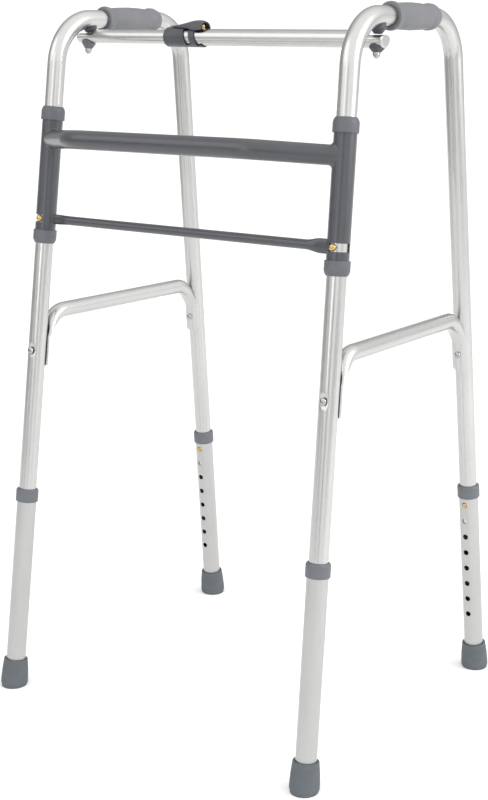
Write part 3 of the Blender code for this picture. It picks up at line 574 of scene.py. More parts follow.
def plated(name, dark, light, rough_low, rough_high):
    """Bright metal fittings with faint wear."""
    material, tree, shader, flow = new_material(name, light, rough_high, metallic=1.0)
    wear = noise(tree, flow, 600.0, 4.0)
    cloudy(tree, shader, wear, dark, light)
    tree.links.new(spread(tree, wear, rough_low, rough_high), shader.inputs["Roughness"])
    tree.links.new(bump(tree, wear, 0.2, 0.00003), shader.inputs["Normal"])
    return material


MATERIALS = {
    "aluminium": drawn_aluminium("drawn_aluminium", (0.50, 0.50, 0.49), (0.53, 0.53, 0.52), 0.25, 0.29),
    "grey_paint": powder_coat("grey_powder_coat", (0.036, 0.040, 0.046), (0.039, 0.043, 0.049)),
    "sleeve_plastic": moulded(
        "sleeve_plastic", (0.082, 0.087, 0.097), (0.100, 0.106, 0.118), 0.42, 900.0, 0.00006),
    "grey_plastic": moulded(
        "grey_plastic", (0.100, 0.106, 0.119), (0.122, 0.129, 0.144), 0.46, 900.0, 0.00006),
    "foot_rubber": moulded(
        "foot_rubber", (0.078, 0.089, 0.098), (0.096, 0.109, 0.119), 0.62, 1300.0, 0.00008),
    "grip_vinyl": moulded(
        "grip_vinyl", (0.134, 0.136, 0.148), (0.155, 0.157, 0.170), 0.50, 1500.0, 0.00007),
    "dark_plastic": moulded(
        "dark_plastic", (0.050, 0.053, 0.062), (0.064, 0.068, 0.078), 0.38, 900.0, 0.00005),
    "brass": plated("brass", (0.47, 0.30, 0.11), (0.60, 0.41, 0.18), 0.16, 0.28),
    "steel": plated("zinc_plate", (0.36, 0.36, 0.36), (0.48, 0.48, 0.48), 0.18, 0.32),
    "spring_steel": plated("spring_steel", (0.38, 0.38, 0.39), (0.50, 0.50, 0.51), 0.25, 0.40),
}
MATT_ALUMINIUM = drawn_aluminium("anodised_aluminium", (0.45, 0.45, 0.44), (0.48, 0.48, 0.47), 0.35, 0.40)


# Side frames

def leg_heights(low, high, fine_at):
    """Heights up a leg, evenly spaced, and closer together about the heights in fine_at."""
    heights = stations(low, high, 0.012)
    for centre in fine_at:
        heights = [h for h in heights if abs(h - centre) > 0.016]
        heights += stations(centre - 0.0155, centre + 0.0155, 0.0015)
    return sorted(heights)


def side_frame_path(side):
    front = LEGS["front_" + side]
    rear = LEGS["rear_" + side]
    top_front = front.at(HANDLE_HEIGHT)
    top_rear = rear.at(HANDLE_HEIGHT)
    first_bend = arc_points(front.at(0.0), top_front, top_rear, FRONT_BEND_RADIUS, BEND_STEPS)
    last_bend = arc_points(top_front, top_rear, rear.at(0.0), REAR_BEND_RADIUS, BEND_STEPS)
    up = [front.at(h) for h in leg_heights(FRAME_LOWER_END, first_bend[0].z - 0.004, [BRACE_BOLT_HEIGHT])]
    down = [rear.at(h) for h in leg_heights(FRAME_LOWER_END, last_bend[-1].z - 0.004, [BRACE_BOLT_HEIGHT])]
    handle = between(first_bend[-1], last_bend[0], 0.1)
    return up + first_bend + handle + last_bend + list(reversed(down))


def press_dimple(mesh, leg, way):
    """Presses the shallow oval seat of a brace bolt into the tube's wall."""
    centre = leg.at(BRACE_BOLT_HEIGHT) + way * FRAME_RADIUS
    across = way.cross(leg.direction)
    for vertex in mesh.verts:
        offset = vertex.co - centre
        if abs(offset.dot(way)) > 0.006:
            continue
        reach = math.hypot(
            offset.dot(across) / DIMPLE_HALF_WIDTH, offset.dot(leg.direction) / DIMPLE_HALF_HEIGHT)
        vertex.co -= way * DIMPLE_DEPTH * ease((1.0 - reach) * 1.8)


def build_side_frame(side):
    path = side_frame_path(side)
    mesh = hollow_tube(path, FRAME_RADIUS, FRAME_BORE, X_AXIS)
    front = LEGS["front_" + side]
    press_dimple(mesh, front, -front.inward)
    tools = [peg(front.at(SLEEVE_BUTTON_HEIGHT), -front.inward, SLEEVE_BUTTON_RADIUS + GAP, *DRILL)]
    for row in ROWS:
        leg = LEGS[f"{row}_{side}"]
        tools.append(peg(leg.at(TOP_HOLE_HEIGHT), leg.inward, LEG_BUTTON_RADIUS + 2.0 * GAP, *DRILL))
    add_skin(f"side_frame_{side}", mesh, tools=tools, path=path)


def build_grip(side):
    """A soft sleeve: a flange at the front, a barrelled body and a rounded rear bead."""
    # Radius, distance from the front end, and fillet
    bore = 0.0130
    outline = [
        (0.0140, 0.0000, 0.0), (0.0176, 0.0000, 0.0016), (0.0182, 0.0045, 0.0030), (0.0174, 0.0098, 0.0026),
        (0.0157, 0.0126, 0.0016), (0.0168, 0.0300, 0.0200), (0.0174, 0.0520, 0.0300),
        (0.0168, 0.0740, 0.0200), (0.0156, 0.0905, 0.0040), (0.0173, 0.0975, 0.0035),
        (0.0171, 0.1045, 0.0035), (0.0140, GRIP_LENGTH, 0.0010), (bore, GRIP_LENGTH, 0.0), (bore, 0.0, 0.0),
    ]
    corners = [(r, GRIP_LENGTH - along, fillet) for r, along, fillet in outline]
    direction = handle_line(side)[1]
    rear_end = handle_point(side, GRIP_FRONT) + direction * GRIP_LENGTH
    add_skin(f"grip_{side}", lathed(corners), axes_at(rear_end, -direction))


# Braces

def brace_ring(centre, along, width, thickness, wrap, corner):
    """A ring round the brace, squashed to a width and thickness and bent round the leg by wrap (1/m).

    A corner of 1 gives an ellipse, and less than 1 gives squarer edges.
    """
    across = (X_AXIS - along * X_AXIS.dot(along)).normalized()
    outward = along.cross(across)
    ring = []
    for turn in even_turns(TUBE_SIDES):
        side_step = width / 2.0 * math.cos(turn)
        depth = thickness / 2.0 * math.copysign(abs(math.sin(turn)) ** corner, math.sin(turn))
        drop = 0.0
        if wrap:
            reach = 1.0 / wrap
            bend = side_step / reach
            side_step = (reach + depth) * math.sin(bend)
            drop = reach * (1.0 - math.cos(bend))
            depth *= math.cos(bend)
        ring.append(centre + across * side_step + outward * (depth - drop))
    return ring


def brace_end(leg):
    """The brace's pressed end on one leg, from its lower edge up, and the corner above it."""
    plate = leg.inward * (FRAME_RADIUS + GAP + BRACE_PLATE / 2.0)
    points = [leg.at(height) + plate for height in stations(BRACE_END_HEIGHT, BRACE_FLAT_TOP, 0.0013)]
    corner = leg.at(BRACE_HEIGHT) + leg.inward * BRACE_SETBACK
    corner.z = BRACE_HEIGHT
    return points, corner


def build_brace(side):
    front, front_corner = brace_end(LEGS["front_" + side])
    rear, rear_corner = brace_end(LEGS["rear_" + side])
    front_bend = arc_points(front[-1], front_corner, rear_corner, BRACE_FRONT_BEND, BEND_STEPS)
    rear_bend = arc_points(front_corner, rear_corner, rear[-1], BRACE_REAR_BEND, BEND_STEPS)
    front_rise = between(front[-1], front_bend[0], 0.2)
    rear_rise = between(rear_bend[-1], rear[-1], 0.2)
    run = between(front_bend[-1], rear_bend[0], 0.06)
    path = front + front_rise + front_bend + run + rear_bend + rear_rise + list(reversed(rear))
    rings = []
    for i, point in enumerate(path):
        near_front = i < len(path) / 2
        plate_top = front[-1] if near_front else rear[-1]
        plate_end = front[0] if near_front else rear[0]
        blend = ease((point.z - plate_top.z) / (BRACE_HEIGHT - plate_top.z))
        inset = 1.0 - min(1.0, (point - plate_end).length / 0.0065)
        shoulder = 1.0 - 0.42 * (1.0 - math.sqrt(1.0 - inset ** 2))
        width = (BRACE_PLATE_WIDTH + (2.0 * BRACE_RADIUS - BRACE_PLATE_WIDTH) * blend) * shoulder
        thickness = BRACE_PLATE + (2.0 * BRACE_RADIUS - BRACE_PLATE) * blend
        wrap = (1.0 - blend) / (FRAME_RADIUS + GAP + BRACE_PLATE / 2.0)
        rings.append(brace_ring(point, along_path(path, i), width, thickness, wrap, 0.4 + 0.6 * blend))
    tools = []
    for row in ROWS:
        leg = LEGS[f"{row}_{side}"]
        tools.append(peg(leg.at(BRACE_BOLT_HEIGHT), leg.inward, BOLT_RADIUS + GAP, 0.008, 0.026))
    add_skin(f"brace_{side}", skinned(rings), tools=tools, path=path)


def build_brace_bolt(leg):
    """A domed screw with a cross recess, through the leg and the brace's plate."""
    plate_face = FRAME_RADIUS + 2.0 * GAP + BRACE_PLATE
    tube_face = FRAME_RADIUS + GAP
    front = leg.row == "front"
    head_at = tube_face if front else plate_face
    tip = -(plate_face if front else tube_face) - 0.0036
    way = -leg.inward if front else leg.inward
    head = dome(BOLT_HEAD_RADIUS, head_at, BOLT_HEAD_HEIGHT, 12, 0.8)
    profile = head + [(BOLT_RADIUS, head_at), (BOLT_RADIUS, tip), (0.0, tip)]
    centre = leg.at(BRACE_BOLT_HEIGHT)
    crown = centre + way * (head_at + BOLT_HEAD_HEIGHT)
    tools = []
    for turn in (45.0, 135.0):
        arm = Matrix.Rotation(math.radians(turn), 3, way) @ leg.direction
        tools.append(block(crown, (0.0058, 0.0012, 0.0030), arm, way))
    add_skin(f"brace_bolt_{leg.name}", turned(profile, SMALL_STEPS), axes_at(centre, way), tools=tools)


# Lower legs

def build_lower_tube(leg):
    bottom = FOOT_SOLE + GAP
    length = (LOWER_TOP_HEIGHT - bottom) / leg.direction.z
    mesh = straight_tube(length, LOWER_RADIUS, LOWER_BORE, HOLE_PITCH / 4.0)
    top_hole = leg.at(TOP_HOLE_HEIGHT)
    holes = [top_hole - leg.direction * (HOLE_PITCH * i) for i in range(HOLE_COUNT)]
    tools = [peg(hole, leg.inward, LEG_HOLE_RADIUS, *DRILL) for hole in holes]
    add_skin(
        f"lower_leg_{leg.name}", mesh, axes_at(leg.at(bottom), leg.direction), MATT_ALUMINIUM, tools=tools)


def build_leg_collar(leg):
    """The bush over the lower tube's mouth, its edges rounded."""
    shoulder = (LOWER_TOP_HEIGHT - COLLAR_BOTTOM) / leg.direction.z + GAP
    throat = FRAME_RADIUS + 2.0 * GAP
    socket = LOWER_RADIUS + GAP
    corners = [
        (COLLAR_RADIUS - 0.0022, COLLAR_HEIGHT, 0.0004), (COLLAR_RADIUS, COLLAR_HEIGHT - 0.0026, 0.0022),
        (COLLAR_RADIUS, 0.0, 0.0013), (socket, 0.0, 0.0), (socket, shoulder, 0.0), (throat, shoulder, 0.0),
        (throat, COLLAR_HEIGHT, 0.0),
    ]
    add_skin(f"leg_collar_{leg.name}", lathed(corners), axes_at(leg.at(COLLAR_BOTTOM), leg.direction))


def build_foot(leg):
    """A flared rubber ferrule with a tread of rings, its sole cut flat on the floor."""
    height = FOOT_HEIGHT / leg.direction.z
    floor = FOOT_SOLE / leg.direction.z
    socket = LOWER_RADIUS + GAP
    swell = FOOT_BASE_RADIUS - FOOT_TOP_RADIUS
    corners = [
        (socket + 0.0004, height, 0.0), (FOOT_TOP_RADIUS, height, 0.0012),
        (FOOT_TOP_RADIUS + 0.72 * swell, height * 0.60, 0.0300), (FOOT_BASE_RADIUS, height * 0.26, 0.0200),
        (FOOT_BASE_RADIUS, 0.0045, 0.0024), (FOOT_BASE_RADIUS - 0.0016, 0.0, 0.0012),
        (0.0185, -0.0060, 0.0), (0.0, -0.0060, 0.0), (0.0, floor, 0.0), (socket, floor, 0.0),
        (socket, height - 0.0004, 0.0),
    ]
    tools = [block(Vector((leg.foot.x, leg.foot.y, -0.02)), (0.08, 0.08, 0.04), X_AXIS, Z_AXIS)]
    for radius in (0.0060, 0.0105, 0.0150):
        ring = turned([
            (radius + 0.0007, 0.0010), (radius + 0.0012, -0.0010), (radius - 0.0012, -0.0010),
            (radius - 0.0007, 0.0010)], SMALL_STEPS, closed=True)
        tools.append(object_of("tool", ring, Matrix.Translation((leg.foot.x, leg.foot.y, 0.0))))
    add_skin(f"foot_{leg.name}", lathed(corners), axes_at(leg.foot, leg.direction), tools=tools)


# Push buttons

def build_button(node, point, way, radius, inner, outer):
    """A domed peg between two distances from the point."""
    rise = radius * 0.75
    head = [(r, h, 0.0) for r, h in dome(radius, outer - rise, rise, 10)]
    profile = rounded(head + [(radius, inner, 0.0003), (0.0, inner, 0.0)])
    add_skin(node, turned(profile, SMALL_STEPS), axes_at(point, way))


def build_buttons():
    for leg in LEGS.values():
        build_button(
            f"leg_button_{leg.name}", leg.at(TOP_HOLE_HEIGHT), leg.inward,
            LEG_BUTTON_RADIUS, FRAME_RADIUS + GAP, LOWER_RADIUS + 0.0026)
    for side in SIDES:
        leg = LEGS["front_" + side]
        build_button(
            f"sleeve_button_{side}", leg.at(SLEEVE_BUTTON_HEIGHT), -leg.inward,
            SLEEVE_BUTTON_RADIUS, 0.0105, SLEEVE_RADIUS + 0.0027)
    build_button(
        "bar_button", bar_line(BAR_BUTTON_X), BAR_UP,
        BAR_BUTTON_RADIUS, BAR_BUTTON_BOTTOM, BAR_BUTTON_TOP)


# Front H-frame

def slot_tool(side):
    """A pie-shaped plate that opens the sleeve from its front face round to its outer side."""
    leg = LEGS["front_" + side]
    reach = 0.022
    rim = []
    for i in range(HOLE_STEPS + 1):
        angle = SLOT_START + SLOT_SWEEP * i / HOLE_STEPS
        rim.append((reach * math.sin(angle) * SIDES[side], -reach * math.cos(angle)))
    outline = [(0.0, 0.0)] + rim
    levels = (-SLOT_HEIGHT / 2.0, SLOT_HEIGHT / 2.0)
    mesh = skinned([[(x, y, z) for x, y in outline] for z in levels])
    forward_x = leg.inward.cross(leg.direction)
    return object_of("tool", mesh, axes_at(leg.at(SLEEVE_BUTTON_HEIGHT), leg.direction, forward_x))


def build_sleeve(side):
    leg = LEGS["front_" + side]
    mesh = straight_tube((SLEEVE_TOP - SLEEVE_BOTTOM) / leg.direction.z, SLEEVE_RADIUS, SLEEVE_BORE, 0.006)
    add_skin(
        f"sleeve_{side}", mesh, axes_at(leg.at(SLEEVE_BOTTOM), leg.direction), tools=[slot_tool(side)])


def build_sleeve_collar(side, end):
    """The moulded bush at one end of a sleeve: a straight band, a rounded shoulder and a thin mouth."""
    leg = LEGS["front_" + side]
    height = SLEEVE_COLLAR_HEIGHT
    socket = SLEEVE_RADIUS + GAP
    throat = FRAME_RADIUS + 2.0 * GAP
    floor = height - SLEEVE_COLLAR_LIP - GAP
    radius = SLEEVE_COLLAR_RADIUS
    corners = [
        (radius - 0.0028, height, 0.0005), (radius - 0.0010, height - 0.0030, 0.0022),
        (radius, height - 0.0062, 0.0040), (radius, 0.0, 0.0009), (socket, 0.0, 0.0), (socket, floor, 0.0),
        (throat, floor, 0.0), (throat, height, 0.0),
    ]
    way = leg.direction if end == "upper" else -leg.direction
    sleeve_end = SLEEVE_TOP if end == "upper" else SLEEVE_BOTTOM
    mouth = leg.at(sleeve_end) + way * (SLEEVE_COLLAR_LIP + 2.0 * GAP)
    add_skin(f"sleeve_collar_{end}_{side}", lathed(corners), axes_at(mouth - way * height, way))


def sleeve_tool(side):
    """What a crossbar's end leaves free for the sleeve, less a little that the weld joins."""
    leg = LEGS["front_" + side]
    return peg(leg.at(SLEEVE_BOTTOM), leg.direction, SLEEVE_RADIUS - GAP, -0.02, 0.22, TURN_STEPS)


def upper_crossbar_path():
    """The main crossbar's centre line, bowed forward in a plane square to the sleeves."""
    right = LEGS["front_right"].at(UPPER_BAR_HEIGHT)
    left = LEGS["front_left"].at(UPPER_BAR_HEIGHT)
    lean = LEGS["front_right"].direction
    middle_height = UPPER_BAR_HEIGHT + (right.y - UPPER_BAR_FRONT) * lean.y / lean.z
    first = Vector((-UPPER_BAR_HALF_STRAIGHT, UPPER_BAR_FRONT, middle_height))
    last = Vector((UPPER_BAR_HALF_STRAIGHT, UPPER_BAR_FRONT, middle_height))
    bend_left = arc_points(left, first, last, UPPER_BAR_BEND, BEND_STEPS)
    bend_right = arc_points(first, last, right, UPPER_BAR_BEND, BEND_STEPS)
    start = between(left, bend_left[0], 0.1)
    middle = between(bend_left[-1], bend_right[0], 0.05)
    finish = between(bend_right[-1], right, 0.1)
    return [left] + start + bend_left + middle + bend_right + finish + [right]


def build_upper_crossbar():
    path = upper_crossbar_path()
    mesh = hollow_tube(path, UPPER_BAR_RADIUS, UPPER_BAR_BORE, Z_AXIS)
    tools = [sleeve_tool(side) for side in SIDES]
    add_skin("crossbar_upper", mesh, tools=tools, path=path, reference=Z_AXIS)
    section = oval(UPPER_BAR_RADIUS, UPPER_BAR_RADIUS)
    for side, start, inner in (("left", path[0], path[1]), ("right", path[-1], path[-2])):
        build_weld(f"weld_upper_{side}", side, start, (inner - start).normalized(), section, UPPER_WELD)


def lower_crossbar_size(side, distance):
    """Half height and half thickness of the lower crossbar at a distance from one sleeve's axis."""
    blend = 1.0 - ease((distance - PADDLE_START - PADDLE_LENGTH * 0.35) / (PADDLE_LENGTH * 0.85))
    tall = LOWER_BAR_RADIUS + (PADDLE_HEIGHT[side] / 2.0 - LOWER_BAR_RADIUS) * blend
    thick = LOWER_BAR_RADIUS + (PADDLE_THICKNESS / 2.0 - LOWER_BAR_RADIUS) * blend
    return tall, thick


def build_lower_crossbar():
    """A straight rod whose ends are pressed into upright paddles against the sleeves."""
    right = LEGS["front_right"].at(LOWER_BAR_HEIGHT)
    left = LEGS["front_left"].at(LOWER_BAR_HEIGHT)
    pressed = PADDLE_START + PADDLE_LENGTH * 1.3
    near = stations(0.002, pressed, 0.0018)
    far = stations(pressed, (right - left).length / 2.0, 0.02)[1:]
    path = [left + X_AXIS * step for step in near + far]
    path += [right - X_AXIS * step for step in reversed(near + far[:-1])]
    rings = []
    for point in path:
        side, end = ("left", left) if (point - left).length < (point - right).length else ("right", right)
        tall, thick = lower_crossbar_size(side, (point - end).length)
        rings.append([
            point + Y_AXIS * thick * math.cos(turn) + Z_AXIS * tall * math.sin(turn)
            for turn in even_turns(TUBE_SIDES)])
    tools = [sleeve_tool(side) for side in SIDES]
    add_skin("crossbar_lower", skinned(rings), tools=tools, path=path, reference=Z_AXIS)
    for side, end, way in (("left", left, X_AXIS), ("right", right, -X_AXIS)):
        tall, thick = lower_crossbar_size(side, 0.0)
        build_weld(f"weld_lower_{side}", side, end, way, oval(thick, tall), LOWER_WELD)


def build_weld(name, side, start, way, section, size):
    """A smooth concave fillet that joins a crossbar's end to its sleeve."""
    leg = LEGS["front_" + side]
    up = (Z_AXIS - way * Z_AXIS.dot(way)).normalized()
    forward = up.cross(way)
    lateral = way.cross(leg.direction).normalized()
    rings = []
    for a, b in section:
        offset = forward * a + up * b
        spread_way = offset.normalized()
        room = SLEEVE_RADIUS - 2.0 * GAP - abs(offset.dot(lateral))
        reach = min(size, max(0.0006, room / max(abs(spread_way.dot(lateral)), 0.001)))
        edge = start + offset
        foot = edge + spread_way * reach
        corner = edge + way * sleeve_hit(leg, edge, way)
        on_bar = corner + way * reach
        sleeve_point = foot + way * sleeve_hit(leg, foot, way)
        ring = []
        for i in range(ARC_STEPS * 2 + 1):
            t = i / (ARC_STEPS * 2)
            curve = on_bar.lerp(corner, t).lerp(corner.lerp(sleeve_point, t), t)
            ring.append(curve - spread_way * 0.0002 * (1.0 - t) - way * 0.0003 * t)
        ring.append(corner - spread_way * 0.0010 - way * 0.0010)
        rings.append(ring)
    body = BODY_OF["crossbar_upper"]
    mesh = skinned(rings, closed=True)
    add_piece(name, mesh, body, MATERIALS["grey_paint"], "grey_paint", angle=60.0)


def sleeve_hit(leg, point, way):
    """How far along the way from the point the sleeve's surface is, or where it is nearest."""
    offset = point - leg.foot
    across_point = offset - leg.direction * offset.dot(leg.direction)
    across_way = way - leg.direction * way.dot(leg.direction)
    a = across_way.length_squared
    b = across_point.dot(across_way)
    c = across_point.length_squared - SLEEVE_RADIUS ** 2
    return (-b + math.sqrt(max(b * b - a * c, 0.0))) / a


# Top bar

def flatten_end(mesh, start, full):
    """Presses down the top of a bar's end, from X = start to X = full and on."""
    for vertex in mesh.verts:
        axis_height = bar_line(vertex.co.x).z
        above = vertex.co.z - axis_height
        if above > 0.0:
            blend = ease((vertex.co.x - start) / (full - start))
            vertex.co.z = axis_height + above * (1.0 - (1.0 - BAR_END_SQUASH) * blend)


def closed_bar(start, end, radius, bore, flat_start, flat_full):
    """A tube along the top bar's line from its open start to its closed, rounded and flattened end."""
    way = 1.0 if end > start else -1.0
    edge = 0.0022
    xs = stations(start, flat_start - way * 0.004, 0.012)
    xs += stations(flat_start - way * 0.003, end - way * edge, 0.0015)
    outer = [(x, radius) for x in xs]
    for i in range(1, 7):
        turn = math.radians(15.0 * i)
        outer.append((end - way * edge * (1.0 - math.sin(turn)), radius - edge * (1.0 - math.cos(turn))))
    outer.append((end, radius * 0.45))
    inner_end = end - way * BAR_END_WALL
    inner = [(x, bore) for x in xs if way * (inner_end - x) > 0.0]
    inner.append((inner_end, bore))
    inner.append((inner_end, bore * 0.45))
    rows = list(reversed(inner)) + outer
    mesh = skinned([ring_at(bar_line(x), BAR_WAY, Z_AXIS, size) for x, size in rows])
    flatten_end(mesh, flat_start, flat_full)
    return mesh


def build_top_bar(node, mesh, side, button_gap):
    """One of the two telescoped tubes, with its bolt hole at one side and the hole for the bar's button."""
    bolt = pivot_point(side, BAR_HEIGHT[side])
    tools = [
        peg(bar_line(BAR_BUTTON_X), BAR_UP, BAR_BUTTON_RADIUS + button_gap, 0.005, 0.016),
        peg(bolt, LEGS["front_" + side].direction, PIVOT_RADIUS + GAP, -0.016, 0.016),
    ]
    path = [bar_line(x) for x in stations(*TOP_BAR_SPAN, 0.01)]
    add_skin(node, mesh, tools=tools, path=path, reference=Z_AXIS)


def build_top_bars():
    outer = closed_bar(
        OUTER_BAR_LEFT, OUTER_BAR_RIGHT, OUTER_BAR_RADIUS, OUTER_BAR_BORE, OUTER_FLAT_START, OUTER_FLAT_FULL)
    build_top_bar("top_bar_outer", outer, "right", GAP)
    inner = closed_bar(
        INNER_BAR_RIGHT, INNER_BAR_LEFT, INNER_BAR_RADIUS, INNER_BAR_BORE, INNER_FLAT_START, INNER_FLAT_FULL)
    build_top_bar("top_bar_inner", inner, "left", 2.0 * GAP)


def build_pivot(side):
    """The saddle, cup washer and cap nut that hang the top bar under one handle."""
    leg = LEGS["front_" + side]
    lean = leg.direction
    height = BAR_HEIGHT[side]
    radius = OUTER_BAR_RADIUS if side == "right" else INNER_BAR_RADIUS
    centre = pivot_point(side, height)
    frame_axes = axes_at(centre, lean, Y_AXIS)

    foot = (radius * BAR_END_SQUASH + SADDLE_FOOT_GAP[side]) / lean.z
    top = (HANDLE_HEIGHT - SADDLE_DROP - height) / lean.z
    waist = foot + (top - foot) * 0.45
    hole = PIVOT_RADIUS + GAP
    corners = [
        (SADDLE_TOP_RADIUS, top, 0.0), (SADDLE_TOP_RADIUS, waist, 0.0030),
        (SADDLE_FOOT_RADIUS, foot, 0.0008)]
    if side == "left":
        saddle = lathed(corners + [(hole, foot, 0.0), (hole, top, 0.0)])
    else:
        saddle = turned(rounded([(0.0, top, 0.0)] + corners + [(0.0, foot, 0.0)]))
    clearance = object_of("tool", solid_tube(side_frame_path(side), FRAME_RADIUS + GAP, X_AXIS))
    add_skin(f"bar_saddle_{side}", saddle, frame_axes, tools=[clearance])

    cup_top = -radius * 0.62
    cup_bottom = CUP_BOTTOM[side] - height
    corners = [
        (CUP_RADIUS, cup_top, 0.0), (CUP_RADIUS, cup_top - 0.0046, 0.0016),
        (CUP_FOOT_RADIUS, cup_bottom, 0.0009), (hole, cup_bottom, 0.0), (hole, cup_top, 0.0)]
    hollow = object_of("tool", solid_tube([bar_line(x) for x in TOP_BAR_SPAN], radius + GAP, Z_AXIS))
    add_skin(f"cup_washer_{side}", lathed(corners), frame_axes, tools=[hollow])
    build_cap_nut(f"dome_nut_{side}", frame_axes, cup_bottom - GAP)


def build_cap_nut(node, axes, top):
    """A hexagon with a domed cap under it, blind from above."""
    rim = top - DOME_NUT_HEIGHT * 0.45
    socket = top - 0.0050 - GAP
    hole = PIVOT_RADIUS + GAP
    flat = DOME_NUT_RADIUS * 0.92
    rise = DOME_NUT_HEIGHT * 0.55
    cap = list(reversed(dome(flat, rim, -rise, 9)))
    bore = [(0.0, socket), (hole, socket), (hole, top)]
    hexagon = [(DOME_NUT_RADIUS + 0.0002, top), (DOME_NUT_RADIUS + 0.0002, rim)]
    mesh = turned(bore + hexagon + cap)
    for vertex in mesh.verts:
        out = math.hypot(vertex.co.x, vertex.co.y)
        if out > DOME_NUT_RADIUS:
            turn = math.atan2(vertex.co.y, vertex.co.x) % (math.pi / 3.0) - math.pi / 6.0
            shrink = DOME_NUT_RADIUS * 0.94 / math.cos(turn) / out
            vertex.co.x *= min(shrink, 1.0)
            vertex.co.y *= min(shrink, 1.0)
    add_skin(node, mesh, axes, angle=25.0)


# Bar clip

def build_clip():
    """A collar, a slanted window and a ring with a toe, all on one bottom strap."""
    length = CLIP_RING_RIGHT - CLIP_LEFT
    shoulder = OUTER_BAR_LEFT - GAP - CLIP_LEFT
    corners = [
        (CLIP_RADIUS, length, 0.0005), (CLIP_RADIUS, 0.0, 0.0030), (INNER_BAR_RADIUS + GAP, 0.0, 0.0),
        (INNER_BAR_RADIUS + GAP, shoulder, 0.0), (OUTER_BAR_RADIUS + GAP, shoulder, 0.0),
        (OUTER_BAR_RADIUS + GAP, length, 0.0004),
    ]
    slant = (BAR_WAY + BAR_UP * CLIP_SLANT).normalized()
    slant_up = slant.cross(BAR_UP.cross(slant)).normalized()
    cutter = 0.040
    toe_cut = 0.030
    window = (CLIP_RING_LEFT + CLIP_COLLAR_RIGHT) / 2.0 + CLIP_WINDOW_SHIFT
    window_length = CLIP_RING_LEFT - CLIP_COLLAR_RIGHT
    window_centre = bar_line(window) + BAR_UP * (CLIP_STRAP_TOP + cutter / 2.0)
    toe_centre = bar_line(CLIP_TOE_LEFT + toe_cut / 2.0)
    toe_centre += BAR_UP * (CLIP_STRAP_TOP + CLIP_TOE_RISE + cutter / 2.0)
    tools = [
        block(window_centre, (window_length, cutter, cutter), slant, slant_up),
        block(toe_centre, (toe_cut, cutter, cutter), slant, slant_up),
    ]
    add_skin("bar_clip", lathed(corners), axes_at(bar_line(CLIP_LEFT), BAR_WAY, Z_AXIS), tools=tools)


def build_lever():
    """The thumb lever: a tongue that rises to a visor-like hood, arched over the bar's button."""
    # X, half width, height of the edges and height of the crest, over the bar's axis
    shape = [
        (-0.0870, 0.0052, 0.0138, 0.0152), (-0.0780, 0.0062, 0.0131, 0.0158),
        (-0.0680, 0.0078, 0.0127, 0.0175), (-0.0600, 0.0091, 0.0122, 0.0191),
        (-0.0540, 0.0102, 0.0116, 0.0204), (-0.0500, 0.0112, 0.0109, 0.0213),
        (-0.0460, 0.0120, 0.0101, 0.0219), (-0.0400, 0.0122, 0.0094, 0.0222),
        (-0.0345, 0.0121, 0.0093, 0.0221), (-0.0310, 0.0115, 0.0098, 0.0214),
        (-0.0290, 0.0107, 0.0106, 0.0204),
    ]
    rings = []
    for x, half_width, low, high in smooth_rows(shape, 4):
        ring = []
        for shrink, turns in ((0.0, range(HOLE_STEPS + 1)), (LEVER_WALL, range(HOLE_STEPS, -1, -1))):
            for i in turns:
                turn = math.pi * i / HOLE_STEPS
                across = (half_width - shrink) * math.cos(turn)
                rise = low + (high - shrink - low) * math.sin(turn) ** 0.85
                ring.append(bar_line(x) + Y_AXIS * across + BAR_UP * rise)
        rings.append(ring)
    add_skin("bar_lever", skinned(rings), angle=50.0)


def smooth_rows(rows, steps):
    """Rows of numbers with Catmull-Rom steps put between them."""
    out = []
    last = len(rows) - 1
    for i in range(last):
        before, start, end, after = rows[max(i - 1, 0)], rows[i], rows[i + 1], rows[min(i + 2, last)]
        for k in range(steps):
            t = k / steps
            row = []
            for a, b, c, d in zip(before, start, end, after):
                square = 2.0 * a - 5.0 * b + 4.0 * c - d
                cube = 3.0 * b - a - 3.0 * c + d
                row.append(0.5 * (2.0 * b + (c - a) * t + square * t ** 2 + cube * t ** 3))
            out.append(tuple(row))
    out.append(rows[-1])
    return out


def finish_cad_nodes():
    """The nuts, pivot bolts and leaf springs keep their CAD shape and take a fine material."""
    for node, obj in frame["nodes"].items():
        if not obj.hide_render:
            obj.data.materials.clear()
            obj.data.materials.append(MATERIALS[SLOT_OF[node]])
            add_flow(obj)


# Studio

def add_area_light(name, location, target, size, power):
    data = bpy.data.lights.new(name, "AREA")
    data.shape = "RECTANGLE"
    data.size = size[0]
    data.size_y = size[1]
    data.energy = power
    light = bpy.data.objects.new(name, data)
    light.location = location
    light.rotation_euler = (Vector(target) - Vector(location)).to_track_quat("-Z", "Y").to_euler()
    light.visible_camera = False
    bpy.context.scene.collection.objects.link(light)


def build_world():
    """A white room, brightest above and in front of the frame, with a lit patch of backdrop behind it."""
    world = bpy.data.worlds.new("studio")
    world.use_nodes = True
    tree = world.node_tree
    light = tree.nodes["Background"]
    way = tree.nodes.new("ShaderNodeTexCoord").outputs["Generated"]
    room = facing(tree, way, (0.69, -0.29, 0.66), -0.45, 0.75, 0.48, 1.50)
    behind = facing(tree, way, (-0.6, 0.8, 0.0), 0.95, 0.98, 0.0, 0.65)
    softbox = facing(tree, way, (-0.531, -0.705, 0.469), 0.88, 0.97, 0.0, 1.1)
    total = room
    for patch in (behind, softbox):
        add = tree.nodes.new("ShaderNodeMath")
        add.operation = "ADD"
        tree.links.new(total, add.inputs[0])
        tree.links.new(patch, add.inputs[1])
        total = add.outputs["Value"]
    tree.links.new(total, light.inputs["Color"])
    light.inputs["Strength"].default_value = 1.0
    bpy.context.scene.world = world


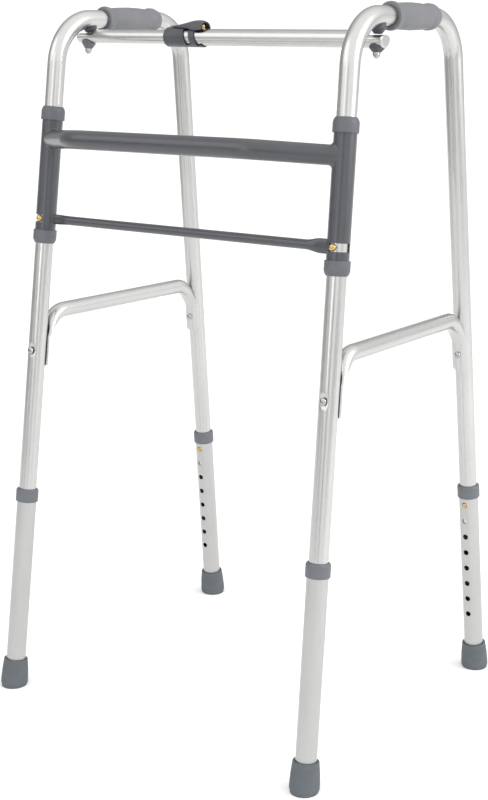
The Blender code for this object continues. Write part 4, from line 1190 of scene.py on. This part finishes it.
def facing(tree, vector, direction, near, far, low, high):
    """A level that changes smoothly from low to high as a direction comes round to the given one."""
    dot = tree.nodes.new("ShaderNodeVectorMath")
    dot.operation = "DOT_PRODUCT"
    dot.inputs[1].default_value = direction
    tree.links.new(vector, dot.inputs[0])
    return map_range(tree, dot.outputs["Value"], (near, far), (low, high), "SMOOTHSTEP")


def set_stage(name, mesh, matrix, shade, roughness, specular):
    """Puts a matt grey surface in the scene that isn't part of the object."""
    surface = object_of(name, mesh, matrix)
    material = plain_material(name, (shade, shade, shade), roughness, specular=specular)[0]
    surface.data.materials.append(material)
    return surface


def build_floor():
    """A plain pale floor, large enough to have no edge in view."""
    mesh = bmesh.new()
    bmesh.ops.create_circle(mesh, cap_ends=True, segments=96, radius=40.0)
    set_stage("floor", mesh, Matrix.Translation((0.0, 0.0, -0.0002)), 0.93, 0.9, 0.1)


def add_card(name, azimuth, distance, width, height, shade):
    """A standing grey card that only reflections see: the tubes show it as a darker band."""
    mesh = bmesh.new()
    bmesh.ops.create_grid(mesh, x_segments=8, y_segments=8, size=0.5)
    bmesh.ops.scale(mesh, vec=(width, height, 1.0), verts=mesh.verts)
    way = Matrix.Rotation(math.radians(azimuth), 3, "Z") @ X_AXIS
    matrix = axes_at(way * distance + Z_AXIS * (height / 2.0 + 0.01), -way, Z_AXIS.cross(way))
    card = set_stage(name, mesh, matrix, shade, 1.0, 0.5)
    card.visible_camera = False
    card.visible_diffuse = False
    card.visible_shadow = False


def build_camera():
    data = bpy.data.cameras.new("camera")
    data.sensor_width = 36.0
    data.lens = 64.33
    camera = bpy.data.objects.new("camera", data)
    camera.location = (1.2003578, -1.6118353, 0.9340917)
    camera.rotation_euler = (math.radians(90.0 - 14.05), 0.0, math.radians(36.92))
    bpy.context.scene.collection.objects.link(camera)
    bpy.context.scene.camera = camera


def build_studio():
    build_world()
    build_floor()
    add_card("card_camera", -64.0, 2.60, 0.50, 1.5, 0.30)
    add_card("card_left", -158.0, 3.00, 3.60, 1.3, 0.38)
    add_card("card_front", -100.0, 3.20, 1.80, 0.75, 0.42)
    add_card("card_right", -8.0, 3.20, 2.80, 0.85, 0.62)
    add_area_light("strip", (0.0, -3.1, 1.65), (0.0, 0.0, 0.9), (0.75, 1.3), 2.8)
    add_area_light("key", (2.9, 0.8, 1.95), (0.0, 0.0, 0.6), (1.8, 2.0), 44.0)
    add_area_light("sparkle", (0.1, -3.0, 0.75), (0.1, 0.0, 0.7), (0.055, 0.055), 1.9)
    bpy.context.scene.view_settings.view_transform = "Standard"


def build_object():
    for side in SIDES:
        build_side_frame(side)
        build_grip(side)
        build_brace(side)
        build_sleeve(side)
        build_sleeve_collar(side, "upper")
        build_sleeve_collar(side, "lower")
        build_pivot(side)
    for leg in LEGS.values():
        build_brace_bolt(leg)
        build_lower_tube(leg)
        build_leg_collar(leg)
        build_foot(leg)
    build_buttons()
    build_upper_crossbar()
    build_lower_crossbar()
    build_top_bars()
    build_clip()
    build_lever()
    finish_cad_nodes()


build_object()
build_studio()
build_camera()
